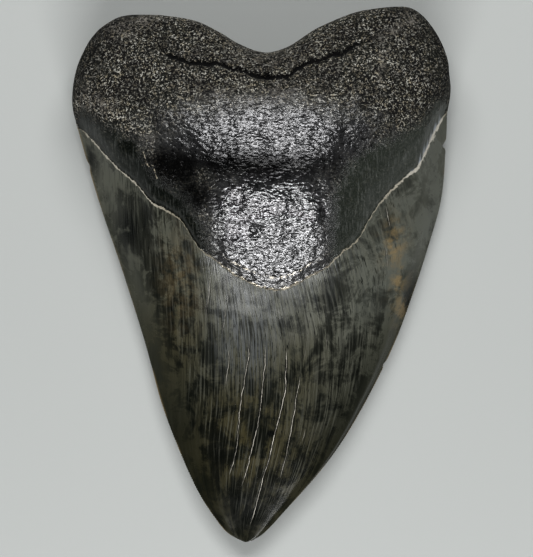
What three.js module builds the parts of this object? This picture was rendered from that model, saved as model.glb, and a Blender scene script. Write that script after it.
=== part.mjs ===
// A large fossil shark tooth: one solid, lying on its flat labial face with its swollen lingual face up.
// Millimetres. X runs across the tooth, Y from its tip to its root, and Z up from the plane it rests on.
import * as THREE from "three";
import { mergeGeometries, mergeVertices } from "three/addons/utils/BufferGeometryUtils.js";

const { clamp, lerp, smoothstep } = THREE.MathUtils;

// Overall sizes, which the outline below is drawn to.
const LENGTH = 147; // from the tip to the higher root lobe
const WIDTH = 104; // across the shoulders of the root

// The outline, seen from above. Each cutting edge runs from the tip to where the enamel ends.
const TIP = [-4.5, -73.5];
const LEFT_EDGE = [
  TIP, [-8.5, -72], [-12.4, -67.8], [-18.6, -57.8], [-26.8, -38], [-32.4, -18.2], [-38.6, 1.6],
  [-45.3, 21.4], [-50.9, 41.2],
];
const RIGHT_EDGE = [
  TIP, [0.5, -71.6], [7.4, -64.4], [16.2, -54.5], [23.4, -44.6], [30.9, -31.4], [37.2, -18.2], [42.1, -5],
  [46.4, 8.2], [50, 21.4], [51.1, 34.6], [51.5, 45.6],
];
const LEFT_SHOULDER = [
  [-50.9, 41.2], [-51.9, 46.5], [-51.6, 51.6], [-50.4, 56.9], [-48.8, 60.9], [-46.6, 64.7], [-43.6, 68],
  [-39.7, 70.5], [-36.1, 71.4],
];
const RIGHT_SHOULDER = [
  [51.5, 45.6], [52.1, 50.8], [51.6, 55], [50.6, 60.2], [48.4, 65.6], [44.8, 70.6], [41.4, 73], [38.3, 73.7],
];

// Lines across the tooth, as Y at equal steps of X from the left outline to the right one.
const LINGUAL_ENAMEL = [
  41.2, 37.6, 32.8, 28.5, 24.9, 19.9, 17.5, 14.2, 7.6, 4.3, 1, -1.3, -3.1, -3.8, -2.6, -0.1, 2.2, 6.2, 9.7,
  17, 22.3, 26.3, 30.2, 38.7, 45.6,
];
const LABIAL_ENAMEL = [41.2, 44, 43.5, 40, 37, 40.5, 45, 47, 45.6];
const CREASE = [69, 66.5, 62.7, 59.1, 57.4, 56.4, 54.7, 53.2, 54, 57.4, 59.2, 61.5, 64.3, 68, 71.4];
const BASAL_EDGE = [71.4, 71.5, 71, 69.7, 66.7, 63, 61.2, 62.8, 66.7, 69.9, 72.2, 73.3, 73.7];

// Heights. The ridge is the middle of the lingual face, at equal steps from tip to root.
const RIDGE_HEIGHT = [6, 9.2, 12, 14.8, 20.2, 24.6, 26.9, 26.6, 24];
// The swelling on the root, which is flatter across than along.
const BOSS = { x: 3, y: 25, rise: 8.2, spreadX: 26, spreadY: 17, acrossPower: 3 };
// The outline above the rest plane. Rows count from 0 to 1 along the crown and from 1 to 2 along the root.
const RIM = { tip: 4.8, crown: 3.8, crownFrom: 0.5, rootFrom: 0.8, root: 11.5, rootAt: 1.45 };
// How the section fills out from its edges: a power above 1 leaves a thin blade, and 0.5 a round edge.
const SECTION = { lingual: 1.1, labial: 0.6, root: 0.5, bladeTo: 0.93, rootFrom: 1.3, baseTurn: 6 };
// The labial face bows up round the spot that it rests on, which is worn flat.
const FLAT_SPOT = { x: 1.5, y: 15, radius: 20, bow: 0.0006, worn: 0.25 };
const NOTCH_HOLLOW = { x: 1, y: 54, depth: 1.6, spreadX: 16, spreadY: 9 };

// Small forms.
const ENAMEL_LIP = 0.55; // the root stands this far above the crown, past a groove
const ENAMEL_GROOVE = 0.45;
const CREASE_DEPTH = 1.6;
const CREASE_FADE = [24, 33]; // the crease dies out between these distances to each side
// X, Y, radius and depth of the hole in the crease and of pits on the boss.
const PITS = [
  [1.5, 53.4, 1.6, 1.5], [17.3, 16.4, 1.5, 0.7], [-1.8, 12, 1.8, 0.6], [-11.6, 6.9, 1.6, 0.6],
  [9, 21, 2, 0.5], [-6, 20, 2.2, 0.5],
];
const SWELLS = { height: 0.35, acrossStep: 3.2, alongStep: 3.7, onCrown: 0.25 }; // gentle unevenness
const RIPPLES = { share: 0.6, acrossStep: 1.6, alongStep: -2.2 };
const RELIEF_FROM_EDGE = 3; // how soon the small forms reach their full depth, away from the outline
const CHIPS = [
  { x: 51, y: 36.4, depth: 1.2, reach: 0.9 },
  { x: 51.8, y: 47, depth: 0.9, reach: 1.6 },
  { x: -48, y: 30.6, depth: 0.4, reach: 1.2 },
  { x: 34.6, y: -24.6, depth: 0.5, reach: 0.8 },
]; // where the edge is broken
const SERRATION_DEPTH = 0.28;
const SERRATION_FADE = [0.02, 0.16]; // the rows near the tip where the serrations are worn away

// How finely the faces are divided, and how near two points are one.
const WELD = 1e-3;
const COLUMNS = 26;
const CROWN_ROWS = 60;
const SERRATIONS_PER_ROW = 3;
const GROOVE_ROW = 0.012; // rows beside the enamel line, as shares of the root
const LIP_ROW = 0.035;
const CREASE_AT = 0.82; // the crease's share of the way from the enamel to the basal edge
const CREASE_HALF = 0.028;
const LOWER_ROOT_ROWS = 12;
const UPPER_ROOT_ROWS = 6;
const CROWDING = 0.7; // how much closer columns stand near the outline, where the faces turn

const curveThrough = (points) => new THREE.SplineCurve(points.map(([x, y]) => new THREE.Vector2(x, y)));
const edges = { left: curveThrough(LEFT_EDGE), right: curveThrough(RIGHT_EDGE) };
const shoulders = { left: curveThrough(LEFT_SHOULDER), right: curveThrough(RIGHT_SHOULDER) };

// A line of equal steps: its value at a share of the way along.
function valueAlong(values, share) {
  const steps = new THREE.SplineCurve(values.map((value, i) => new THREE.Vector2(i, value)));
  return steps.getPoint(clamp(share, 0, 1)).y;
}

// The point of a line across the tooth, between its two ends on the outline.
function across(values, left, right, share) {
  return new THREE.Vector2(lerp(left.x, right.x, share), valueAlong(values, share));
}

// Moves a point so that its row starts and ends on the outline.
function fitToSides(point, rowLeft, rowRight, left, right, share) {
  return point
    .addScaledVector(left.clone().sub(rowLeft), 1 - share)
    .addScaledVector(right.clone().sub(rowRight), share);
}

// The crown's plan: columns fan out from the tip to the enamel line.
function crownPlan(enamel, share, along) {
  const tip = new THREE.Vector2(...TIP);
  const ends = { left: edges.left.getPointAt(1), right: edges.right.getPointAt(1) };
  const ruled = (target) => tip.clone().lerp(target, along);
  const point = ruled(across(enamel, ends.left, ends.right, share));
  const left = edges.left.getPointAt(along);
  const right = edges.right.getPointAt(along);
  return fitToSides(point, ruled(ends.left), ruled(ends.right), left, right, share);
}

// The root's plan: columns run from the enamel line through the crease to the basal edge.
function rootPlan(enamel, share, along) {
  const { left, right } = shoulders;
  const at = (place) => ({ left: left.getPointAt(place), right: right.getPointAt(place) });
  const lower = along <= CREASE_AT;
  const [from, to] = lower ? [at(0), at(CREASE_AT)] : [at(CREASE_AT), at(1)];
  const [fromLine, toLine] = lower ? [enamel, CREASE] : [CREASE, BASAL_EDGE];
  const step = lower ? along / CREASE_AT : (along - CREASE_AT) / (1 - CREASE_AT);
  const line = (s) =>
    across(fromLine, from.left, from.right, s).lerp(across(toLine, to.left, to.right, s), step);
  const sides = at(along);
  return fitToSides(line(share), line(0), line(1), sides.left, sides.right, share);
}

// How full the section is, from 0 on the outline to 1 in the middle of the tooth.
function fullness(share, row, bladePower) {
  const side = 2 * share - 1;
  const power = lerp(bladePower, SECTION.root, smoothstep(row, SECTION.bladeTo, SECTION.rootFrom));
  const towardsBase = clamp(row - 1, 0, 1);
  return Math.pow(1 - side * side, power) * Math.sqrt(1 - Math.pow(towardsBase, SECTION.baseTurn));
}

function rimHeight(row) {
  const crown = lerp(RIM.tip, RIM.crown, smoothstep(row, 0, RIM.crownFrom));
  return lerp(crown, RIM.root, smoothstep(row, RIM.rootFrom, RIM.rootAt));
}

const hill = (dx, dy, spreadX, spreadY) => Math.exp(-((dx / spreadX) ** 2) - (dy / spreadY) ** 2);

// The groove and the lip at the end of the enamel.
function enamelStep(row) {
  const past = clamp((row - 1) / LIP_ROW, 0, 1);
  const groove = -ENAMEL_GROOVE * smoothstep(row - 1, 0, GROOVE_ROW) * (1 - past);
  return groove + ENAMEL_LIP * smoothstep(row - 1, GROOVE_ROW, LIP_ROW);
}

function creaseDepth(row, x) {
  const near = 1 - Math.min(1, Math.abs(row - 1 - CREASE_AT) / CREASE_HALF);
  return CREASE_DEPTH * near * (1 - smoothstep(Math.abs(x), ...CREASE_FADE));
}

// Gentle unevenness, more on the root than on the crown.
function lumps(x, y, row) {
  const swells = Math.sin(x / SWELLS.acrossStep) * Math.sin(y / SWELLS.alongStep);
  const ripples = RIPPLES.share * Math.sin(x / RIPPLES.acrossStep + y / RIPPLES.alongStep);
  const strength = lerp(SWELLS.onCrown, 1, smoothstep(row, SECTION.bladeTo, SECTION.rootFrom));
  return SWELLS.height * strength * (swells + ripples);
}

// How deep the round pits and the hole in the crease are at a point.
function pitDepth(x, y) {
  const depthOf = ([pitX, pitY, radius, depth]) => depth * hill(x - pitX, y - pitY, radius, radius);
  return PITS.reduce((sum, pit) => sum + depthOf(pit), 0);
}

function lingualHeight(x, y, share, row) {
  const rim = rimHeight(row);
  const ridge = valueAlong(RIDGE_HEIGHT, y / LENGTH + 0.5);
  const aside = Math.abs((x - BOSS.x) / BOSS.spreadX) ** BOSS.acrossPower;
  const boss = BOSS.rise * Math.exp(-aside - ((y - BOSS.y) / BOSS.spreadY) ** 2);
  const relief = enamelStep(row) + lumps(x, y, row) - pitDepth(x, y) - creaseDepth(row, x);
  const full = fullness(share, row, SECTION.lingual);
  return rim + full * (ridge + boss - rim) + Math.min(1, RELIEF_FROM_EDGE * full) * relief;
}

function labialHeight(x, y, share, row) {
  const rim = rimHeight(row);
  const away = (x - FLAT_SPOT.x) ** 2 + (y - FLAT_SPOT.y) ** 2;
  const bowed = Math.max(0, FLAT_SPOT.bow * (away - FLAT_SPOT.radius ** 2));
  const step = ENAMEL_LIP * smoothstep(row, 1, 1 + LIP_ROW);
  const { depth, spreadX, spreadY } = NOTCH_HOLLOW;
  const hollow = depth * hill(x - NOTCH_HOLLOW.x, y - NOTCH_HOLLOW.y, spreadX, spreadY);
  const full = fullness(share, row, SECTION.labial);
  return Math.max(FLAT_SPOT.worn, rim - full * (rim - bowed - step - hollow));
}

// The rows from the tip to the basal edge: 0 to 1 on the crown and 1 to 2 on the root.
function rowPlaces() {
  const crown = Array.from({ length: CROWN_ROWS + 1 }, (_, i) => i / CROWN_ROWS);
  const lower = Array.from({ length: LOWER_ROOT_ROWS }, (_, i) =>
    lerp(LIP_ROW, CREASE_AT - CREASE_HALF, i / (LOWER_ROOT_ROWS - 1)));
  const upper = Array.from({ length: UPPER_ROOT_ROWS }, (_, i) =>
    lerp(CREASE_AT + CREASE_HALF, 1, Math.sin((i / (UPPER_ROOT_ROWS - 1)) * (Math.PI / 2))));
  return [...crown, ...[GROOVE_ROW, ...lower, CREASE_AT, ...upper].map((s) => 1 + s)];
}

function columnShare(column) {
  const even = column / COLUMNS;
  return lerp(even, (1 - Math.cos(Math.PI * even)) / 2, CROWDING);
}

function planOf(enamel, share, row) {
  return row <= 1 ? crownPlan(enamel, share, row) : rootPlan(enamel, share, row - 1);
}

// How far a point of the outline lies inside the smooth edge, where the edge is chipped.
function chipDepth(point) {
  const depthOf = ({ x, y, depth, reach }) => depth * hill(point.x - x, point.y - y, reach, reach);
  return CHIPS.reduce((sum, chip) => sum + depthOf(chip), 0);
}

function surfacePoint(face, share, row) {
  const plan = planOf(face.enamel, share, row);
  if (share === 0 || share === 1) plan.x -= Math.sign(2 * share - 1) * chipDepth(plan);
  return new THREE.Vector3(plan.x, plan.y, face.height(plan.x, plan.y, share, row));
}

// A grid of the unit square, each of its points put in place.
function sheet(columns, rows, place) {
  const grid = new THREE.PlaneGeometry(1, 1, columns, rows);
  grid.deleteAttribute("normal");
  grid.deleteAttribute("uv");
  const position = grid.getAttribute("position");
  for (let i = 0; i < position.count; i += 1) {
    const row = rows - Math.floor(i / (columns + 1));
    const { x, y, z } = place(i % (columns + 1), row);
    position.setXYZ(i, x, y, z);
  }
  return grid;
}

// The crown between its serrated borders, which take its outer columns.
function crownBody(face) {
  const rows = rowPlaces();
  const place = (column, row) => surfacePoint(face, columnShare(column + 1), rows[row]);
  return sheet(COLUMNS - 2, CROWN_ROWS, place);
}

function rootBody(face) {
  const rows = rowPlaces().slice(CROWN_ROWS);
  const place = (column, row) => surfacePoint(face, columnShare(column), rows[row]);
  return sheet(COLUMNS, rows.length - 1, place);
}

// One cutting edge: the inner points are those of the body's rows, and the outer ones step out and in.
function serratedBorder(face, atRight) {
  const steps = 2 * SERRATIONS_PER_ROW;
  const outer = atRight ? 1 : 0;
  const inner = columnShare(atRight ? COLUMNS - 1 : 1);
  const placeOuter = (row) => {
    const along = row / (CROWN_ROWS * steps);
    const point = surfacePoint(face, outer, along);
    const depth = SERRATION_DEPTH * smoothstep(along, ...SERRATION_FADE);
    const valley = row % 2 === 0 && along < 1;
    if (valley) point.x -= Math.sign(2 * outer - 1) * depth;
    return point;
  };
  const placeInner = (row) => surfacePoint(face, inner, Math.round(row / steps) / CROWN_ROWS);
  const place = (column, row) => ((column === 1) === atRight ? placeOuter(row) : placeInner(row));
  return sheet(1, CROWN_ROWS * steps, place);
}

// The labial face looks down, so its triangles turn the other way.
function turnedOver(geometry) {
  const index = geometry.getIndex();
  for (let i = 0; i < index.count; i += 3) {
    const [first, second] = [index.getX(i), index.getX(i + 1)];
    index.setX(i, second);
    index.setX(i + 1, first);
  }
  return geometry;
}

// Triangles that shrank to a line where rows meet at the tip or at a border are left out.
function withoutCollapsed(geometry) {
  const index = Array.from(geometry.getIndex().array);
  const kept = [];
  for (let i = 0; i < index.length; i += 3) {
    const [a, b, c] = index.slice(i, i + 3);
    if (a !== b && b !== c && a !== c) kept.push(a, b, c);
  }
  return geometry.setIndex(kept);
}

function toothGeometry() {
  const lingual = { enamel: LINGUAL_ENAMEL, height: lingualHeight };
  const labial = { enamel: LABIAL_ENAMEL, height: labialHeight };
  const sheets = (face) => [
    crownBody(face), rootBody(face), serratedBorder(face, false), serratedBorder(face, true),
  ];
  const shell = mergeGeometries([...sheets(lingual), ...sheets(labial).map(turnedOver)]);
  const geometry = withoutCollapsed(mergeVertices(shell, WELD));
  geometry.computeBoundingBox();
  const { min, max } = geometry.boundingBox;
  geometry.translate(-(min.x + max.x) / 2, -(min.y + max.y) / 2, -min.z);
  geometry.scale(WIDTH / (max.x - min.x), LENGTH / (max.y - min.y), 1);
  geometry.computeVertexNormals();
  return geometry;
}

function fossilMaterial() {
  return new THREE.MeshStandardMaterial({ color: 0x2e2f2d, roughness: 0.45, metalness: 0 });
}

const tooth = new THREE.Mesh(toothGeometry(), fossilMaterial());
tooth.name = "tooth";

const group = new THREE.Group();
group.add(tooth);

export default group;
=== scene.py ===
"""A fossil shark tooth, lying with its swollen lingual face up: its fine surface, its finish and its studio.

The tooth is drawn in millimetres, X across it, Y from its tip to its root and Z up, and is stored in metres.
"""

import logging
import math
from dataclasses import dataclass, field
from enum import Enum

import bmesh
import bpy
import numpy as np
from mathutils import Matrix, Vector, noise


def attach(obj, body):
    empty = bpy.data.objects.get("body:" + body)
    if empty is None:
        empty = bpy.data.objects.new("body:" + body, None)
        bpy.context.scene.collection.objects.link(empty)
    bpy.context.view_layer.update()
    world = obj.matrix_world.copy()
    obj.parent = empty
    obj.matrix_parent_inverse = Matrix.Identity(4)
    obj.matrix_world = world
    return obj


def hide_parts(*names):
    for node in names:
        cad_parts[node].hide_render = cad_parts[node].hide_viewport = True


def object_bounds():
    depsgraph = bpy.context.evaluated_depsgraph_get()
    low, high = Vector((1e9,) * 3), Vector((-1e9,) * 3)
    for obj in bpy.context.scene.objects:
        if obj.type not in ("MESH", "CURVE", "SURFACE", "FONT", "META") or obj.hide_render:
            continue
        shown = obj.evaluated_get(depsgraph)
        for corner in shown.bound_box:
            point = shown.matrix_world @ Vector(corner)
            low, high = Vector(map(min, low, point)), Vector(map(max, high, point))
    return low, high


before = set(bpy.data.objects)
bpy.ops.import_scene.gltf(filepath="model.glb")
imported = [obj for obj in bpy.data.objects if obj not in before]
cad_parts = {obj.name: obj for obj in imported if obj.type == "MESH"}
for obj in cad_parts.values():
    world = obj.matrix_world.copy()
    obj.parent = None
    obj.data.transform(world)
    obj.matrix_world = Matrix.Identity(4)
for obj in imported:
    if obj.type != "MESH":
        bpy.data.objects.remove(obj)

LOG = logging.getLogger("tooth")
MM = 0.001
CAD_LOW, CAD_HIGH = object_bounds()

CURVE_SAMPLES = 2001
FRACTAL = (0.8, 2.1)  # how fast the finer layers of the noise in the surface fade, and how much finer each is
NOISE_MEAN = 0.5  # of a noise node

Point = tuple[float, float]
Colour = tuple[float, float, float]
Shift = tuple[float, float, float]
Spot = tuple[float, float, float, float, float]  # X, Y, spreads across and along, and strength in its middle
Settings = tuple[float, ...]  # a noise node's scale, detail, roughness and distortion
Ramp = tuple[float, ...]  # where a value starts and stops to change, and what it is at both, if not 0 and 1
Socket = bpy.types.NodeSocket
Tree = bpy.types.NodeTree


class Face(Enum):
    """The two faces of the tooth."""

    LINGUAL = "lingual"
    LABIAL = "labial"


def smooth_step(value: np.ndarray, low: float, high: float) -> np.ndarray:
    """Eases from 0 at low to 1 at high.

    Args:
        value: The numbers to ease.
        low: Where the result starts to rise.
        high: Where it reaches 1.

    Returns:
        The eased numbers.
    """
    step = np.clip((value - low) / (high - low), 0.0, 1.0)
    return step * step * (3.0 - 2.0 * step)


def blend(low: np.ndarray | float, high: np.ndarray | float, share: np.ndarray | float) -> np.ndarray:
    """Mixes two values by a share of the second."""
    return low + (high - low) * share


def hill(across: np.ndarray, along: np.ndarray, spread_x: float, spread_y: float) -> np.ndarray:
    """A smooth round hill of height 1, from the distances to its top."""
    return np.exp(-((across / spread_x) ** 2) - (along / spread_y) ** 2)


def strongest_spot(x: np.ndarray, y: np.ndarray, spots: tuple[Spot, ...]) -> np.ndarray:
    """Reads the strongest of several soft spots.

    Args:
        x: Places across.
        y: Places along.
        spots: The spots.

    Returns:
        The strongest spot's strength at each place.
    """
    return np.maximum.reduce([
        strength * hill(x - at_x, y - at_y, spread_x, spread_y)
        for at_x, at_y, spread_x, spread_y, strength in spots
    ])


def curve_values(values: np.ndarray, share: np.ndarray) -> np.ndarray:
    """Reads a smooth curve through evenly spaced values.

    Args:
        values: The values, one row each.
        share: How far along the curve to read, from 0 to 1.

    Returns:
        The curve's values there.
    """
    place = np.clip(share, 0.0, 1.0) * (len(values) - 1)
    first = np.minimum(place.astype(int), len(values) - 2)
    step = place - first
    if values.ndim > 1:
        step = step[..., None]
    before = values[np.maximum(first - 1, 0)]
    start = values[first]
    end = values[first + 1]
    after = values[np.minimum(first + 2, len(values) - 1)]
    leave = (end - before) / 2.0
    arrive = (after - start) / 2.0
    cubic = 2.0 * start - 2.0 * end + leave + arrive
    square = -3.0 * start + 3.0 * end - 2.0 * leave - arrive
    return ((cubic * step + square) * step + leave) * step + start


def curve_by_length(points: tuple[Point, ...], share: np.ndarray) -> np.ndarray:
    """Reads a smooth curve through points by its share of length.

    Args:
        points: The points that the curve passes through.
        share: The share of its length, from 0 to 1.

    Returns:
        A point for each share.
    """
    samples = curve_values(np.array(points), np.linspace(0.0, 1.0, CURVE_SAMPLES))
    lengths = np.concatenate(([0.0], np.cumsum(np.linalg.norm(np.diff(samples, axis=0), axis=1))))
    wanted = np.asarray(share) * lengths[-1]
    return np.stack([np.interp(wanted, lengths, samples[:, axis]) for axis in (0, 1)], axis=-1)


def distance_to_path(x: np.ndarray, y: np.ndarray, path: tuple[Point, ...]) -> np.ndarray:
    """Measures how far points lie from a broken line.

    Args:
        x: The points' places across.
        y: Their places along.
        path: The line's corners.

    Returns:
        The distance of each point.
    """
    nearest = np.full(x.shape, np.inf)
    for (start_x, start_y), (end_x, end_y) in zip(path, path[1:]):
        run_x, run_y = end_x - start_x, end_y - start_y
        share = ((x - start_x) * run_x + (y - start_y) * run_y) / (run_x**2 + run_y**2)
        share = np.clip(share, 0.0, 1.0)
        nearest = np.minimum(nearest, np.hypot(x - start_x - share * run_x, y - start_y - share * run_y))
    return nearest


def noise_at(x: np.ndarray, y: np.ndarray, z: np.ndarray | float, size: float,
             layers: int = 1) -> np.ndarray:
    """Reads smooth noise, about -1 to 1, that is the same on each run.

    Args:
        x: Places across.
        y: Places along.
        z: A third place, or a number that picks a pattern.
        size: The size of the noise's lumps.
        layers: How many layers it has, each finer than the last.

    Returns:
        The noise at each place.
    """
    x, y, z = np.broadcast_arrays(x, y, z)
    places = zip((x / size).ravel().tolist(), (y / size).ravel().tolist(), (z / size).ravel().tolist())
    values = (noise.fractal(place, *FRACTAL, layers) for place in places)
    return np.fromiter(values, float, x.size).reshape(x.shape)


@dataclass(frozen=True)
class Crack:
    """A fine crack along the crown's fibres.

    Fields:
        path: Its points, from the root towards the tip.
        pale: How much pale mineral fills it, from 0 to 1.
    """

    path: tuple[Point, ...]
    pale: float = 0.8


@dataclass(frozen=True)
class ToothForm:
    """The tooth's shape, from its outline and its heights, as its solid has it."""

    tip: Point = (-4.5, -73.5)
    left_edge: tuple[Point, ...] = (
        (-4.5, -73.5), (-8.5, -72), (-12.4, -67.8), (-18.6, -57.8), (-26.8, -38), (-32.4, -18.2),
        (-38.6, 1.6), (-45.3, 21.4), (-50.9, 41.2),
    )
    right_edge: tuple[Point, ...] = (
        (-4.5, -73.5), (0.5, -71.6), (7.4, -64.4), (16.2, -54.5), (23.4, -44.6), (30.9, -31.4), (37.2, -18.2),
        (42.1, -5), (46.4, 8.2), (50, 21.4), (51.1, 34.6), (51.5, 45.6),
    )
    left_shoulder: tuple[Point, ...] = (
        (-50.9, 41.2), (-51.9, 46.5), (-51.6, 51.6), (-50.4, 56.9), (-48.8, 60.9), (-46.6, 64.7), (-43.6, 68),
        (-39.7, 70.5), (-36.1, 71.4),
    )
    right_shoulder: tuple[Point, ...] = (
        (51.5, 45.6), (52.1, 50.8), (51.6, 55), (50.6, 60.2), (48.4, 65.6), (44.8, 70.6), (41.4, 73),
        (38.3, 73.7),
    )
    lingual_enamel: tuple[float, ...] = (
        41.2, 37.6, 32.8, 28.5, 24.9, 19.9, 17.5, 14.2, 7.6, 4.3, 1, -1.3, -3.1, -3.8, -2.6, -0.1, 2.2, 6.2,
        9.7, 17, 22.3, 26.3, 30.2, 38.7, 45.6,
    )
    labial_enamel: tuple[float, ...] = (41.2, 44, 43.5, 40, 37, 40.5, 45, 47, 45.6)
    crease: tuple[float, ...] = (
        69, 66.5, 62.7, 59.1, 57.4, 56.4, 54.7, 53.2, 54, 57.4, 59.2, 61.5, 64.3, 68, 71.4,
    )
    basal_edge: tuple[float, ...] = (
        71.4, 71.5, 71, 69.7, 66.7, 63, 61.2, 62.8, 66.7, 69.9, 72.2, 73.3, 73.7,
    )
    ridge_height: tuple[float, ...] = (6, 9.2, 12, 14.8, 20.2, 24.6, 26.9, 26.6, 24)
    length: float = 147.0
    boss: tuple[float, ...] = (3, 25, 8.2, 26, 17)  # place, rise and spreads of the swelling on the root
    boss_power: float = 3.0
    tip_rim: float = 4.8
    crown_rim: float = 3.8
    root_rim: float = 11.5
    tip_to_crown: Ramp = (0.0, 0.5)
    crown_to_root: Ramp = (0.8, 1.45)
    lingual_power: float = 1.1  # above 1 leaves a thin blade, and 0.5 a round edge
    labial_power: float = 0.6
    root_power: float = 0.5
    blade_to: float = 0.93  # rows count from 0 to 1 along the crown and from 1 to 2 along the root
    round_from: float = 1.3
    base_turn: float = 6.0
    flat_spot: Point = (1.5, 15)
    flat_radius: float = 20.0
    flat_bow: float = 0.0006
    worn: float = 0.25
    notch_hollow: tuple[float, ...] = (1, 54, 1.6, 16, 9)
    enamel_lip: float = 0.55
    enamel_groove: float = 0.45
    step_rise: float = 3.0  # how soon the groove and the lip reach their full size, away from the outline
    groove_row: float = 0.012
    lip_row: float = 0.035
    crease_at: float = 0.82

    def ends(self) -> tuple[np.ndarray, np.ndarray]:
        """The points where the enamel meets the outline, at the left and the right."""
        return np.array(self.left_edge[-1]), np.array(self.right_edge[-1])

    def enamel(self, face: Face) -> np.ndarray:
        """The enamel's end on a face, as places along at even steps across."""
        return np.array(self.lingual_enamel if face is Face.LINGUAL else self.labial_enamel)

    def across(self, line: np.ndarray, left: np.ndarray, right: np.ndarray, share: np.ndarray) -> np.ndarray:
        """Points of a line across the tooth.

        Args:
            line: Its places along, at even steps across.
            left: Its left end.
            right: Its right end.
            share: How far across to read, from 0 at the left to 1.

        Returns:
            A point for each share.
        """
        x = blend(left[0], right[0], share)
        return np.stack([x, curve_values(line, share)], axis=-1)

    def crown_plan(self, face: Face, share: np.ndarray, along: np.ndarray) -> np.ndarray:
        """The crown seen from above: its columns fan out from the tip to the end of the enamel.

        Args:
            face: Which face.
            share: Places across, from 0 to 1.
            along: Places from the tip to the enamel's end, from 0 to 1, of the same shape.

        Returns:
            A point for each place.
        """
        tip = np.array(self.tip)
        left_end, right_end = self.ends()
        step = along[..., None]
        target = self.across(self.enamel(face), left_end, right_end, share)
        point = blend(tip, target, step)
        left = curve_by_length(self.left_edge, along) - blend(tip, left_end, step)
        right = curve_by_length(self.right_edge, along) - blend(tip, right_end, step)
        return point + left * (1.0 - share[..., None]) + right * share[..., None]

    def root_plan(self, face: Face, share: np.ndarray, along: np.ndarray) -> np.ndarray:
        """The root seen from above: its columns run through the crease to the edge of the base.

        Args:
            face: Which face.
            share: Places across, from 0 to 1.
            along: Places from the enamel's end to the base, from 0 to 1, of the same shape.

        Returns:
            A point for each place.
        """
        places = np.array([0.0, self.crease_at, 1.0])
        lefts = curve_by_length(self.left_shoulder, places)
        rights = curve_by_length(self.right_shoulder, places)
        lines = (self.enamel(face), np.array(self.crease), np.array(self.basal_edge))
        rows = [self.across(line, left, right, share) for line, left, right in zip(lines, lefts, rights)]
        below = (along <= self.crease_at)[..., None]
        along = along[..., None]
        low = along / self.crease_at
        high = (along - self.crease_at) / (1.0 - self.crease_at)
        point = np.where(below, blend(rows[0], rows[1], low), blend(rows[1], rows[2], high))
        ends = [
            [
                self.across(line, left, right, np.float64(side))
                for line, left, right in zip(lines, lefts, rights)
            ]
            for side in (0.0, 1.0)
        ]
        ruled = [
            np.where(below, blend(side[0], side[1], low), blend(side[1], side[2], high)) for side in ends
        ]
        left = curve_by_length(self.left_shoulder, along[..., 0]) - ruled[0]
        right = curve_by_length(self.right_shoulder, along[..., 0]) - ruled[1]
        return point + left * (1.0 - share[..., None]) + right * share[..., None]

    def plan(self, face: Face, share: np.ndarray, row: np.ndarray) -> np.ndarray:
        """The tooth seen from above.

        Args:
            face: Which face.
            share: Places across, from 0 to 1.
            row: Places along, 0 to 1 on the crown and 1 to 2 on the root, of the same shape.

        Returns:
            A point for each place.
        """
        crown = self.crown_plan(face, share, np.minimum(row, 1.0))
        root = self.root_plan(face, share, np.clip(row - 1.0, 0.0, 1.0))
        return np.where((row <= 1.0)[..., None], crown, root)

    def fullness(self, share: np.ndarray, row: np.ndarray, blade_power: float) -> np.ndarray:
        """How full the section is, from 0 on the outline to 1 in the middle."""
        side = 2.0 * share - 1.0
        power = blend(blade_power, self.root_power, smooth_step(row, self.blade_to, self.round_from))
        base = np.sqrt(1.0 - np.clip(row - 1.0, 0.0, 1.0) ** self.base_turn)
        return np.clip(1.0 - side * side, 0.0, 1.0) ** power * base

    def rim_height(self, row: np.ndarray) -> np.ndarray:
        """How high the outline lies at each row."""
        crown = blend(self.tip_rim, self.crown_rim, smooth_step(row, *self.tip_to_crown))
        return blend(crown, self.root_rim, smooth_step(row, *self.crown_to_root))

    def enamel_step(self, row: np.ndarray) -> np.ndarray:
        """The groove and the lip at the end of the enamel."""
        past = np.clip((row - 1.0) / self.lip_row, 0.0, 1.0)
        groove = -self.enamel_groove * smooth_step(row - 1.0, 0.0, self.groove_row) * (1.0 - past)
        return groove + self.enamel_lip * smooth_step(row - 1.0, self.groove_row, self.lip_row)

    def lingual_height(self, x: np.ndarray, y: np.ndarray, share: np.ndarray, row: np.ndarray) -> np.ndarray:
        """Heights of the lingual face, without its fine relief.

        Args:
            x: Places across, in millimetres.
            y: Places along, in millimetres.
            share: The same places across, as shares of the width.
            row: The same places along, as rows.

        Returns:
            The height of each place.
        """
        rim = self.rim_height(row)
        ridge = curve_values(np.array(self.ridge_height), y / self.length + 0.5)
        boss_x, boss_y, rise, spread_x, spread_y = self.boss
        across = np.abs((x - boss_x) / spread_x) ** self.boss_power
        swelling = np.exp(-across - ((y - boss_y) / spread_y) ** 2)
        full = self.fullness(share, row, self.lingual_power)
        step = np.minimum(1.0, self.step_rise * full) * self.enamel_step(row)
        return rim + full * (ridge + rise * swelling - rim) + step

    def labial_height(self, x: np.ndarray, y: np.ndarray, share: np.ndarray, row: np.ndarray) -> np.ndarray:
        """Heights of the labial face, which the tooth lies on.

        Args:
            x: Places across, in millimetres.
            y: Places along, in millimetres.
            share: The same places across, as shares of the width.
            row: The same places along, as rows.

        Returns:
            The height of each place.
        """
        rim = self.rim_height(row)
        away = (x - self.flat_spot[0]) ** 2 + (y - self.flat_spot[1]) ** 2
        bowed = np.maximum(0.0, self.flat_bow * (away - self.flat_radius**2))
        step = self.enamel_lip * smooth_step(row, 1.0, 1.0 + self.lip_row)
        hollow_x, hollow_y, depth, spread_x, spread_y = self.notch_hollow
        hollow = depth * hill(x - hollow_x, y - hollow_y, spread_x, spread_y)
        full = self.fullness(share, row, self.labial_power)
        return np.maximum(self.worn, rim - full * (rim - bowed - step - hollow))

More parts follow.
